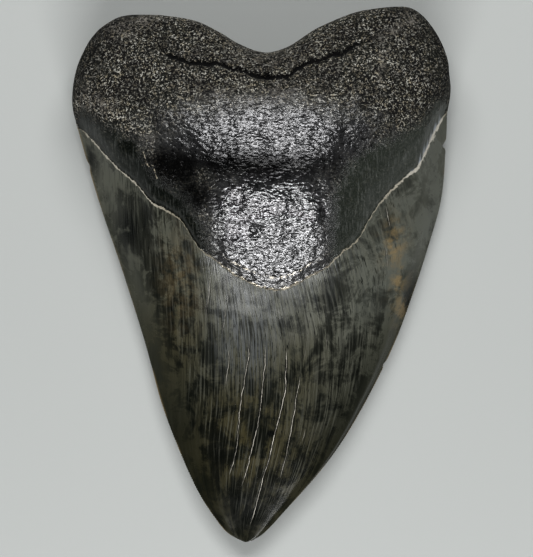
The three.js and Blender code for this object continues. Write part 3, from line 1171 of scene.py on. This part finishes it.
@dataclass(frozen=True)
class MineralGrain:
    """Pitted mineral grain of a given Size, narrowed across by Stretch: its height, its flecks, and its pits,
    the low places of its height, where the root paints shade.
    """

    coarse: Settings = (1.0, 2.0, 0.4, 0.3)
    fine: Settings = (1.9, 1.0, 0.5)
    fine_shift: Shift = (17.0, 5.0, 3.0)
    coarse_share: float = 0.45
    flecks: Ramp = (0.485, 0.64)
    # the low places of the height, where the root paints shade
    pits: Ramp = (0.46, 0.34)

    def build(self) -> Tree:
        """Makes the node group.

        Returns:
            The group.
        """
        inputs = {"Place": "NodeSocketVector", "Size": "NodeSocketFloat", "Stretch": "NodeSocketFloat"}
        pad, given, made = new_group("mineral_grain", inputs, ("Height", "Flecks", "PitShade"))
        squeezed = pad.vector("MULTIPLY", given["Place"], pad.joined(given["Stretch"], 1.0, 1.0))
        place = pad.scaled(squeezed, pad.over(1.0, given["Size"]))
        coarse = pad.noise(place, *self.coarse)
        fine = pad.noise(pad.vector("ADD", place, self.fine_shift), *self.fine)
        pad.feed(made["Height"], coarse)
        pad.feed(made["Flecks"], pad.ease(pad.mix(self.coarse_share, fine, coarse), *self.flecks))
        pad.feed(made["PitShade"], pad.ease(coarse, *self.pits))
        return pad.tree


@dataclass(frozen=True)
class EnamelFibres:
    """Fine fibres along the crown, of a given Width and Length: their height, pale streaks and dark gaps."""

    fibre: Settings = (1.0, 2.0, 0.5)
    tone: Settings = (0.8, 2.0, 0.6)
    tone_shift: Shift = (31.0, 0.0, 0.0)
    streaks: Ramp = (0.52, 0.66)
    gaps: Ramp = (0.48, 0.38)

    def build(self) -> Tree:
        """Makes the node group.

        Returns:
            The group.
        """
        inputs = {"Growth": "NodeSocketVector", "Width": "NodeSocketFloat", "Length": "NodeSocketFloat"}
        pad, given, made = new_group("enamel_fibres", inputs, ("Height", "Streaks", "Gaps"))
        across, along, side = pad.parts(given["Growth"])
        place = pad.joined(pad.over(across, given["Width"]), pad.over(along, given["Length"]), side)
        tone = pad.noise(pad.vector("ADD", place, self.tone_shift), *self.tone)
        pad.feed(made["Height"], pad.noise(place, *self.fibre))
        pad.feed(made["Streaks"], pad.ease(tone, *self.streaks))
        pad.feed(made["Gaps"], pad.ease(tone, *self.gaps))
        return pad.tree


@dataclass(frozen=True)
class Layer:
    """What one finish gives at each place: colour, roughness, a height in millimetres and its lustre."""

    colour: Socket
    roughness: Socket
    height: Socket
    lustre: Socket | float = 0.0


@dataclass(frozen=True)
class EnamelFinish:
    """Satin enamel of the crown: grey, clouded with olive and black-green along its fibres, with tan stains,
    a painted blue-grey sheen below the root's swelling and a right side painted paler as reflected light.

    Ramps whose names end in inside or edge read the distance from the outline, and those that end in rise the
    distance from the enamel's end, which is negative on the crown. Both are in millimetres.
    """

    grey: Colour = (0.100, 0.102, 0.083)
    deep: Colour = (0.016, 0.017, 0.011)
    olive: Colour = (0.054, 0.047, 0.022)
    black_green: Colour = (0.002, 0.003, 0.002)
    tan: Colour = (0.22, 0.17, 0.095)
    streak: Colour = (0.12, 0.12, 0.10)
    # painted reflection: the paler grey of the crown's right side
    reflection_grey: Colour = (0.116, 0.121, 0.106)
    # painted sheen on the crown below the root's swelling
    painted_sheen_grey: Colour = (0.105, 0.11, 0.11)
    roughness: float = 0.27
    roughness_swing: float = 0.5
    fine_fibres: Point = (0.42, 9.0)
    broad_fibres: Point = (1.7, 20.0)
    dash_fibres: Point = (0.3, 3.0)
    clouds: Settings = (0.13, 5.0, 0.68, 0.4)
    cloud_share: float = 0.75  # the broad fibres make up the rest
    grey_rise: Ramp = (-62.0, -4.0)
    olive_clouds: Ramp = (0.36, 0.56)
    dark_clouds: Ramp = (0.53, 0.42)
    dark_inside: Ramp = (1.0, 11.0)
    dark_share: float = 0.75
    stain_pull: float = 0.12  # how far a dark stain widens the dark clouds
    full_stain: Ramp = (1.2, 1.8)
    fine_gaps: float = 0.6
    broad_gaps: float = 0.25
    fibrous_inside: Ramp = (7.0, 15.0, 0.12, 1.0)
    fibrous_rise: Ramp = (-30.0, -6.0, 0.0, 0.35)
    reflection_side: Ramp = (18.0, 34.0)  # read across the tooth
    reflection_rise: Ramp = (-32.0, -14.0)
    reflection_clouds: Ramp = (0.35, 0.6, 0.3, 0.85)
    lit_middle: Ramp = (0.15, 0.9)
    lit_fibres: Ramp = (0.4, 0.6, 0.1, 0.9)
    dashes: Ramp = (0.40, 0.33)
    dashes_inside: Ramp = (8.0, 16.0)
    dashes_clouds: Ramp = (0.4, 0.6, 0.4, 1.0)
    streak_share: float = 0.4
    blotches: Patches = Patches((0.3, 4.0, 0.65), (0.38, 0.62))
    rubbed_edge: Ramp = (0.7, 0.05)
    rubbed_parts: Patches = Patches((0.09, 2.0), (0.45, 0.62))
    rubbed_share: float = 0.5
    fibre_height: float = 0.1
    height_inside: Ramp = (2.0, 11.0, 0.1, 1.0)
    height_rise: Ramp = (-74.0, -50.0, 0.1, 1.0)

    def layer(self, pad: ToothPad) -> Layer:
        """Adds the enamel's nodes.

        Args:
            pad: Where they go.

        Returns:
            The enamel's layer.
        """
        _, past, _, polish = pad.attribute("regions")
        _, tan, dark, olive = pad.attribute("stains")
        edge = pad.attribute("wear")[2]
        fine, broad = pad.fibres(self.fine_fibres), pad.fibres(self.broad_fibres)
        clouds = pad.noise(pad.place, *self.clouds)
        fibre_part = pad.times(broad["Height"], 1.0 - self.cloud_share)
        mottled = pad.plus(pad.times(clouds, self.cloud_share), fibre_part)
        colour = pad.tint(pad.ease(past, *self.grey_rise), self.deep, self.grey)
        colour = pad.tint(pad.times(olive, pad.ease(mottled, *self.olive_clouds)), colour, self.olive)

        clouded = pad.ease(pad.less(mottled, pad.times(dark, self.stain_pull)), *self.dark_clouds)
        darkness = pad.most(pad.times(pad.ease(edge, *self.dark_inside), self.dark_share), dark)
        darkness = pad.most(pad.times(clouded, darkness), pad.ease(dark, *self.full_stain))
        colour = pad.tint(darkness, colour, self.black_green)
        gaps = pad.most(pad.times(fine["Gaps"], self.fine_gaps), pad.times(broad["Gaps"], self.broad_gaps))
        fibrous = pad.most(pad.ease(edge, *self.fibrous_inside), pad.ease(past, *self.fibrous_rise))
        colour = pad.tint(pad.times(gaps, fibrous), colour, self.black_green)

        # painted reflection: the crown's right side is painted paler, as if it caught more light
        right = pad.times(pad.ease(pad.across, *self.reflection_side), pad.ease(past, *self.reflection_rise))
        colour = pad.tint(pad.times(right, pad.ease(clouds, *self.reflection_clouds)), colour, self.reflection_grey)
        # painted sheen: blue-grey along the fibres below the root's swelling
        lit = pad.times(pad.ease(polish, *self.lit_middle), pad.ease(fine["Height"], *self.lit_fibres))
        colour = pad.tint(lit, colour, self.painted_sheen_grey)
        dashes = pad.ease(pad.fibres(self.dash_fibres)["Height"], *self.dashes)
        dashed = pad.times(pad.ease(edge, *self.dashes_inside), pad.ease(clouds, *self.dashes_clouds))
        colour = pad.tint(pad.times(dashes, dashed), colour, self.black_green)
        colour = pad.tint(pad.times(fine["Streaks"], fibrous, self.streak_share), colour, self.streak)

        colour = pad.tint(pad.times(tan, pad.patches(self.blotches)), colour, self.tan)
        rubbed = pad.times(pad.ease(edge, *self.rubbed_edge), pad.patches(self.rubbed_parts))
        colour = pad.tint(pad.times(rubbed, self.rubbed_share), colour, self.tan)
        height = pad.times(fine["Height"], self.fibre_height, pad.ease(edge, *self.height_inside))
        height = pad.times(height, pad.ease(past, *self.height_rise))
        roughness = pad.plus(pad.times(pad.less(mottled, NOISE_MEAN), self.roughness_swing), self.roughness)
        return Layer(colour, roughness, height)


@dataclass(frozen=True)
class BandFinish:
    """The smooth dark band between enamel and root: green-black, painted paler towards the right as reflected
    light, with faint upright fibres and specks.
    """

    green_black: Colour = (0.003, 0.005, 0.003)
    # painted reflection: the band's paler colour at its right
    right: Colour = (0.032, 0.037, 0.030)
    sheen: Colour = (0.10, 0.105, 0.097)
    roughness: float = 0.15
    fibre_size: Point = (0.4, 3.0)
    speck_size: Point = (0.5, 1.0)
    reflection_to_right: Ramp = (5.0, 30.0)
    streaks: Ramp = (-10.0, 30.0, 0.4, 0.6)
    specks: Ramp = (2.0, 22.0, 0.05, 0.5)
    fibre_height: float = 0.06
    fibre_roughness: float = 0.15

    def layer(self, pad: ToothPad) -> Layer:
        """Adds the band's nodes.

        Args:
            pad: Where they go.

        Returns:
            The band's layer.
        """
        fine = pad.fibres(self.fibre_size)
        across = pad.parts(pad.growth)[0]
        # painted reflection: paler towards the right
        colour = pad.tint(pad.ease(across, *self.reflection_to_right), self.green_black, self.right)
        colour = pad.tint(pad.times(fine["Streaks"], pad.ease(across, *self.streaks)), colour, self.sheen)
        specks = pad.times(pad.grain(self.speck_size)["Flecks"], pad.ease(across, *self.specks))
        colour = pad.tint(specks, colour, self.sheen)
        roughness = pad.plus(pad.times(fine["Height"], self.fibre_roughness), self.roughness)
        return Layer(colour, roughness, pad.times(fine["Height"], self.fibre_height))


@dataclass(frozen=True)
class RootFinish:
    """Worn root: black mineral, silvery on its boss, which also paints in part of the boss's highlight, and
    strewn with tan flecks elsewhere, with painted shade in its grain's hollows and on dark patches across and
    beside its swelling.
    """

    black: Colour = (0.006, 0.006, 0.005)
    green: Colour = (0.011, 0.012, 0.009)
    fleck: Colour = (0.29, 0.26, 0.20)
    pale_fleck: Colour = (0.46, 0.45, 0.41)
    dust: Colour = (0.16, 0.15, 0.135)
    # the black of the painted shade, in the grain's hollows and on the dark patches of the swelling
    hollow: Colour = (0.002, 0.002, 0.002)
    # silvery grey of the worn boss, which also paints in part of its highlight
    silver_and_highlight: Colour = (0.105, 0.105, 0.107)
    roughness: float = 0.97
    polished: float = 0.25  # the roughness where the root is worn
    lustre: float = 0.8
    small_grain: Point = (0.6, 0.95)
    large_grain: Point = (0.9, 0.66)
    unevenness: Settings = (0.25, 3.0)
    uneven_height: float = 0.5
    worn: Ramp = (0.25, 0.5)
    shiny: Ramp = (0.3, 0.85)
    silver_and_highlight_share: float = 0.95
    green_parts: Patches = Patches((0.16, 4.0, 0.65), (0.38, 0.6))
    bare_parts: Patches = Patches((0.33, 3.0, 0.7), (0.40, 0.56, 0.5, 1.0))
    fleck_tones: Patches = Patches((0.9, 1.0), (0.35, 0.65))
    dusty_parts: Patches = Patches((0.55, 4.0, 0.7), (0.4, 0.62))
    rim_outside: float = 2.2  # the flecked rim's middle, outside the band
    rim: Ramp = (3.2, 0.8)
    rim_side: Ramp = (-18.0, -28.0)
    black_and_green_flecks: Point = (0.7, 1.0)
    fleck_wear: Ramp = (0.3, 0.8)
    worn_flecks: float = 0.25
    fleck_edge: Ramp = (1.0, 9.0, 0.5, 1.0)
    painted_shade_ramp: Ramp = (0.05, 0.9)
    painted_shade_share: float = 0.93
    small_pit_shade: float = 0.9
    large_pit_shade: float = 0.55
    height_wear: Ramp = (0.1, 0.4)
    grain_height: float = 0.4
    worn_large_height: float = 0.42
    worn_small_height: float = 0.12

    def layer(self, pad: ToothPad) -> Layer:
        """Adds the root's nodes.

        Args:
            pad: Where they go.

        Returns:
            The root's layer.
        """
        _, _, inside, polish = pad.attribute("regions")
        _, tan, shade, _ = pad.attribute("stains")
        edge = pad.attribute("wear")[2]
        small, large = pad.grain(self.small_grain), pad.grain(self.large_grain)
        uneven = pad.swing(self.unevenness, self.uneven_height)
        polish = pad.plus(polish, uneven)
        worn, shiny = pad.ease(polish, *self.worn), pad.ease(polish, *self.shiny)
        green_share = pad.patches(self.green_parts)
        colour = pad.tint(green_share, self.black, self.green)

        beside_band = pad.ease(pad.size_of(pad.plus(inside, self.rim_outside)), *self.rim)
        rim = pad.times(beside_band, pad.ease(pad.across, *self.rim_side))
        amount = pad.times(pad.patches(self.bare_parts), pad.mix(green_share, *self.black_and_green_flecks))
        amount = pad.mix(pad.ease(polish, *self.fleck_wear), amount, self.worn_flecks)
        amount = pad.most(pad.times(amount, pad.ease(edge, *self.fleck_edge)), rim)
        flecks = pad.tint(pad.patches(self.fleck_tones), self.fleck, self.pale_fleck)
        colour = pad.tint(pad.times(small["Flecks"], amount), colour, flecks)
        colour = pad.tint(pad.times(tan, pad.patches(self.dusty_parts)), colour, self.dust)

        # silvery where worn smooth, and a painted highlight on the boss
        colour = pad.tint(pad.times(shiny, self.silver_and_highlight_share), colour, self.silver_and_highlight)
        # painted shade: the dark patches across and beside the swelling, glossy there
        painted_shade = pad.ease(pad.plus(shade, uneven), *self.painted_shade_ramp)
        colour = pad.tint(pad.times(painted_shade, self.painted_shade_share), colour, self.hollow)
        # painted shade in the grain's hollows
        worn_pit_shade = pad.times(large["PitShade"], self.large_pit_shade)
        pits = pad.mix(worn, pad.times(small["PitShade"], self.small_pit_shade), worn_pit_shade)
        colour = pad.tint(pits, colour, self.hollow)

        worn_height = pad.times(large["Height"], self.worn_large_height)
        worn_height = pad.plus(worn_height, pad.times(small["Height"], self.worn_small_height))
        grain_height = pad.times(small["Height"], self.grain_height)
        height = pad.mix(pad.ease(polish, *self.height_wear), grain_height, worn_height)
        roughness = pad.mix(pad.most(worn, painted_shade), self.roughness, self.polished)
        return Layer(colour, roughness, height, pad.times(shiny, self.lustre))


@dataclass(frozen=True)
class FossilMaterial:
    """The tooth's one material: root, band and enamel, with a pale line between them, pale cracks with
    painted shadows at their sides and a crease painted near-black as shade.
    """

    enamel: EnamelFinish = field(default_factory=EnamelFinish)
    band: BandFinish = field(default_factory=BandFinish)
    root: RootFinish = field(default_factory=RootFinish)
    grain: MineralGrain = field(default_factory=MineralGrain)
    fibres: EnamelFibres = field(default_factory=EnamelFibres)
    mineral: Colour = (0.46, 0.44, 0.39)
    beige: Colour = (0.32, 0.29, 0.23)
    frost: Colour = (0.30, 0.32, 0.35)
    # painted shade, at the cracks' sides and in the crease
    crack_and_crease_shade: Colour = (0.003, 0.003, 0.003)
    ior: float = 1.45
    ragged: Settings = (0.8, 4.0, 0.65)
    ragged_height: float = 1.6
    enamel_end: Ramp = (-0.1, 0.1)
    border: Settings = (0.7, 5.0, 0.75)
    border_height: float = 9.0
    on_band: Ramp = (-1.5, 2.5, 0.0, 0.88)
    rough: Settings = (1.3, 3.0, 0.6)
    broken: Settings = (0.7, 3.0, 0.6)
    thinnest: float = 0.01
    line_thickness: Ramp = (0.3, 0.7, 0.11, 0.484)
    line_edge: Ramp = (1.4, 0.5)
    line_white: Ramp = (0.6, 1.3)
    hair_size: Point = (0.8, 7.0)
    hair_reach: Ramp = (0.38, 0.62, 0.8, 5.0)
    hair_share: Ramp = (0.42, 0.54, 0.4, 1.0)
    fringe_fade: Ramp = (1.0, 0.1)
    fringe_side: Ramp = (-0.2, 0.1)
    fringe_start: Ramp = (0.0, 0.8)
    second_line: float = 2.2  # a second, fainter line follows the tongue this far above the first
    second_edge: Ramp = (0.24, 0.08)
    second_breaks: Ramp = (0.4, 0.65, 0.0, 0.6)
    tongue_middle: float = 4.0
    tongue_reach: Ramp = (16.0, 11.2)
    flake_waver: float = 0.8
    flake_edge: Ramp = (0.22, 0.08)
    crack_waver: float = 0.25
    crack_fill: Ramp = (0.15, 0.045)
    crack_breaks: Ramp = (0.34, 0.56, 0.35, 1.0)
    crack_parts: Patches = Patches((0.14, 1.0), (0.4, 0.55, 0.6, 1.0))
    crack_shade: Ramp = (0.48, 0.21)
    shade_share: float = 0.85
    shade_depth: float = 0.06
    crease_waver: float = 2.4
    gap_waver: float = 1.8
    gap_edge: Ramp = (0.6, 0.3)
    gap_depth: float = 0.9

    def build(self) -> bpy.types.Material:
        """Makes the material.

        Returns:
            The material.
        """
        material = bpy.data.materials.new("fossil_tooth")
        material.use_nodes = True
        pad = ToothPad(material.node_tree, self.grain.build(), self.fibres.build())
        enamel, band, root = self.enamel.layer(pad), self.band.layer(pad), self.root.layer(pad)

        _, past, inside_band, _ = pad.attribute("regions")
        past = pad.plus(past, pad.swing(self.ragged, self.ragged_height))
        border = pad.swing(self.border, self.border_height)
        on_band = pad.ease(pad.plus(inside_band, border), *self.on_band)
        whole = self.mixed(pad, on_band, root, band)
        whole = self.mixed(pad, pad.ease(past, *self.enamel_end), enamel, whole)

        colour, height = self.marked(pad, past, whole)
        bump = pad.add("ShaderNodeBump", {}, {"Strength": 1.0, "Distance": MM, "Height": height}).outputs[0]
        shader = material.node_tree.nodes["Principled BSDF"]
        pad.feed(shader.inputs["Base Color"], colour)
        pad.feed(shader.inputs["Roughness"], whole.roughness)
        pad.feed(shader.inputs["Metallic"], whole.lustre)
        pad.feed(shader.inputs["Normal"], bump)
        shader.inputs["IOR"].default_value = self.ior
        return material

    def marked(self, pad: ToothPad, past: Socket, whole: Layer) -> tuple[Socket, Socket]:
        """Draws the pale line, the cracks with their painted shadows, the flaked edges and the crease with
        its painted shade.

        Args:
            pad: Where the nodes go.
            past: Distances past the enamel's end.
            whole: The surface that they are drawn on.

        Returns:
            The colour and the height with the marks.
        """
        _, crack, strength, line = pad.attribute("marks")
        _, crease, _, flake = pad.attribute("wear")
        rough = pad.less(pad.noise(pad.place, *self.rough), NOISE_MEAN)
        broken = pad.noise(pad.place, *self.broken)

        flaked = pad.ease(pad.plus(flake, pad.times(rough, self.flake_waver)), *self.flake_edge)
        crack = pad.size_of(pad.plus(crack, pad.times(rough, self.crack_waver)))
        filled = pad.times(pad.ease(crack, *self.crack_fill), strength, pad.ease(broken, *self.crack_breaks))
        filled = pad.times(filled, pad.patches(self.crack_parts))
        shadow = pad.times(pad.ease(crack, *self.crack_shade), strength)
        crease = pad.size_of(pad.plus(crease, pad.times(rough, self.crease_waver)))
        jagged = pad.times(pad.less(broken, NOISE_MEAN), self.gap_waver)
        # the crease is cut in by the bump and painted near-black as shade
        crease_groove_and_shade = pad.ease(pad.less(crease, jagged), *self.gap_edge)

        colour = pad.tint(pad.times(shadow, self.shade_share), whole.colour, self.crack_and_crease_shade)
        colour = pad.tint(flaked, colour, self.beige)
        colour = pad.tint(self.fringe_share(pad, past, line), colour, self.frost)
        mineral = pad.tint(pad.ease(line, *self.line_white), self.beige, self.mineral)
        colour = pad.tint(self.line_share(pad, past, line, broken), colour, mineral)
        colour = pad.tint(filled, colour, self.mineral)
        colour = pad.tint(crease_groove_and_shade, colour, self.crack_and_crease_shade)
        depth = pad.times(crease_groove_and_shade, self.gap_depth)
        return colour, pad.less(whole.height, depth, pad.times(shadow, self.shade_depth))

    def line_share(self, pad: ToothPad, past: Socket, line: Socket, broken: Socket) -> Socket:
        """Draws the pale line at the enamel's end and the fainter one above the tongue.

        Args:
            pad: Where the nodes go.
            past: Distances past the enamel's end.
            line: How wide the line is at each place across.
            broken: The noise that breaks it up.

        Returns:
            How much of the lines' colour there is.
        """
        thickness = pad.times(line, pad.ease(broken, *self.line_thickness))
        nearness = pad.over(pad.size_of(past), pad.most(thickness, self.thinnest))
        pale = pad.times(pad.ease(nearness, *self.line_edge), pad.least(line, 1.0))
        middle = pad.ease(pad.size_of(pad.less(pad.across, self.tongue_middle)), *self.tongue_reach)
        second = pad.ease(pad.size_of(pad.less(past, self.second_line)), *self.second_edge)
        return pad.most(pale, pad.times(second, middle, pad.ease(broken, *self.second_breaks)))

    def fringe_share(self, pad: ToothPad, past: Socket, line: Socket) -> Socket:
        """Draws the fine hairs that fringe the pale line where it is wide.

        Args:
            pad: Where the nodes go.
            past: Distances past the enamel's end.
            line: How wide the line is at each place across.

        Returns:
            How much of the fringe's colour there is.
        """
        hairs = pad.fibres(self.hair_size)["Height"]
        wide = pad.less(line, 1.0)
        reach = pad.times(pad.most(wide, self.thinnest), pad.ease(hairs, *self.hair_reach))
        shown = pad.times(pad.ease(wide, *self.fringe_start), pad.ease(hairs, *self.hair_share))
        faded = pad.ease(pad.over(past, reach), *self.fringe_fade)
        return pad.times(faded, pad.ease(past, *self.fringe_side), shown)

    def mixed(self, pad: ToothPad, share: Socket, first: Layer, second: Layer) -> Layer:
        """Mixes two layers.

        Args:
            pad: Where the nodes go.
            share: How much of the second layer there is.
            first: The first layer.
            second: The second layer.

        Returns:
            The mixed layer.
        """
        return Layer(
            pad.tint(share, first.colour, second.colour),
            pad.mix(share, first.roughness, second.roughness),
            pad.mix(share, first.height, second.height),
            pad.mix(share, first.lustre, second.lustre),
        )


@dataclass
class FossilTooth:
    """The tooth with its finish."""

    shell: ToothShell = field(default_factory=ToothShell)
    finish: FossilMaterial = field(default_factory=FossilMaterial)

    def build(self) -> bpy.types.Object:
        """Makes the tooth in place of its plain solid.

        Returns:
            The tooth.
        """
        tooth = self.shell.build()
        tooth.data.materials.append(self.finish.build())
        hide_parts("tooth")
        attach(tooth, "root")
        return tooth


@dataclass(frozen=True)
class Softbox:
    """A broad softbox that is aimed at a point.

    Fields:
        name: What it is called.
        tilt: How far it leans from straight above, in degrees.
        turn: Which way it leans, in degrees from +X towards +Y.
        distance: How far it is from the point, in metres.
        size: Its width and height, in metres.
        power: Its power, in watts.
    """

    name: str
    tilt: float
    turn: float
    distance: float
    size: tuple[float, float]
    power: float

    def build(self, aim: Vector) -> None:
        """Makes the softbox.

        Args:
            aim: The point that it shines at.
        """
        light = bpy.data.lights.new(self.name, "AREA")
        light.shape = "RECTANGLE"
        light.size, light.size_y = self.size
        light.energy = self.power
        lamp = bpy.data.objects.new(self.name, light)
        tilt, turn = math.radians(self.tilt), math.radians(self.turn)
        way = Vector((math.sin(tilt) * math.cos(turn), math.sin(tilt) * math.sin(turn), math.cos(tilt)))
        lamp.location = aim + way * self.distance
        lamp.rotation_euler = way.to_track_quat("Z", "Y").to_euler()
        bpy.context.scene.collection.objects.link(lamp)


@dataclass(frozen=True)
class Studio:
    """The pale floor, the lamps and the camera that looks straight down."""

    frame_size: tuple[int, int] = (533, 557)
    mm_per_pixel: float = 0.275
    frame_middle: Point = (1.375, -0.69)
    aim: tuple[float, float, float] = (0.002, 0.0, 0.02)
    sharp_height: float = 8.0
    distance: float = 0.5
    sensor: float = 24.0
    floor_size: float = 3.0
    floor_colour: Colour = (0.36, 0.37, 0.362)
    floor_roughness: float = 0.85
    sky_colour: Colour = (0.75, 0.8, 0.85)
    sky_strength: float = 0.07
    nearest_seen: float = 0.01
    lamps: tuple[Softbox, ...] = (
        Softbox("front_box", 56.0, -90.0, 0.7, (0.64, 0.12), 3.8),
        Softbox("front_glow", 62.0, -90.0, 0.75, (0.60, 0.30), 1.7),
        Softbox("back_box", 46.0, 90.0, 0.7, (0.74, 0.12), 2.9),
        Softbox("back_glow", 42.0, 90.0, 0.75, (0.90, 0.32), 1.9),
    )

    def build(self) -> None:
        """Makes the floor, the lamps, the sky and the camera."""
        self.build_floor()
        aim = Vector(self.aim)
        for lamp in self.lamps:
            lamp.build(aim)
            LOG.info("%s is in place", lamp.name)
        self.build_sky()
        self.build_camera()

    def build_floor(self) -> None:
        """Makes the floor."""
        shape = bmesh.new()
        bmesh.ops.create_grid(shape, x_segments=1, y_segments=1, size=self.floor_size / 2.0)
        mesh = bpy.data.meshes.new("floor")
        shape.to_mesh(mesh)
        shape.free()
        floor = bpy.data.objects.new("floor", mesh)
        bpy.context.scene.collection.objects.link(floor)
        material = bpy.data.materials.new("floor")
        material.use_nodes = True
        shader = material.node_tree.nodes["Principled BSDF"]
        shader.inputs["Base Color"].default_value = (*self.floor_colour, 1.0)
        shader.inputs["Roughness"].default_value = self.floor_roughness
        mesh.materials.append(material)

    def build_sky(self) -> None:
        """Makes the even, dim light all round."""
        world = bpy.data.worlds.new("studio_air")
        world.use_nodes = True
        sky = world.node_tree.nodes["Background"]
        sky.inputs["Color"].default_value = (*self.sky_colour, 1.0)
        sky.inputs["Strength"].default_value = self.sky_strength
        bpy.context.scene.world = world

    def build_camera(self) -> None:
        """Makes the camera, far enough away that the tooth keeps its proportions."""
        lens = bpy.data.cameras.new("camera")
        lens.sensor_fit = "VERTICAL"
        lens.sensor_height = self.sensor
        view_height = self.frame_size[1] * self.mm_per_pixel * MM
        lens.lens = self.sensor * (self.distance - self.sharp_height * MM) / view_height
        lens.clip_start = self.nearest_seen
        camera = bpy.data.objects.new("camera", lens)
        camera.location = (self.frame_middle[0] * MM, self.frame_middle[1] * MM, self.distance)
        bpy.context.scene.collection.objects.link(camera)
        bpy.context.scene.camera = camera


def main() -> None:
    """Builds the studio and the tooth."""
    logging.basicConfig(level=logging.INFO, format="%(name)s: %(message)s")
    Studio().build()
    tooth = FossilTooth().build()
    LOG.info("%s has %d faces", tooth.name, len(tooth.data.polygons))
    bpy.context.scene.view_settings.view_transform = "Standard"
    bpy.context.scene.view_settings.look = "High Contrast"


if __name__ == "__main__":
    main()
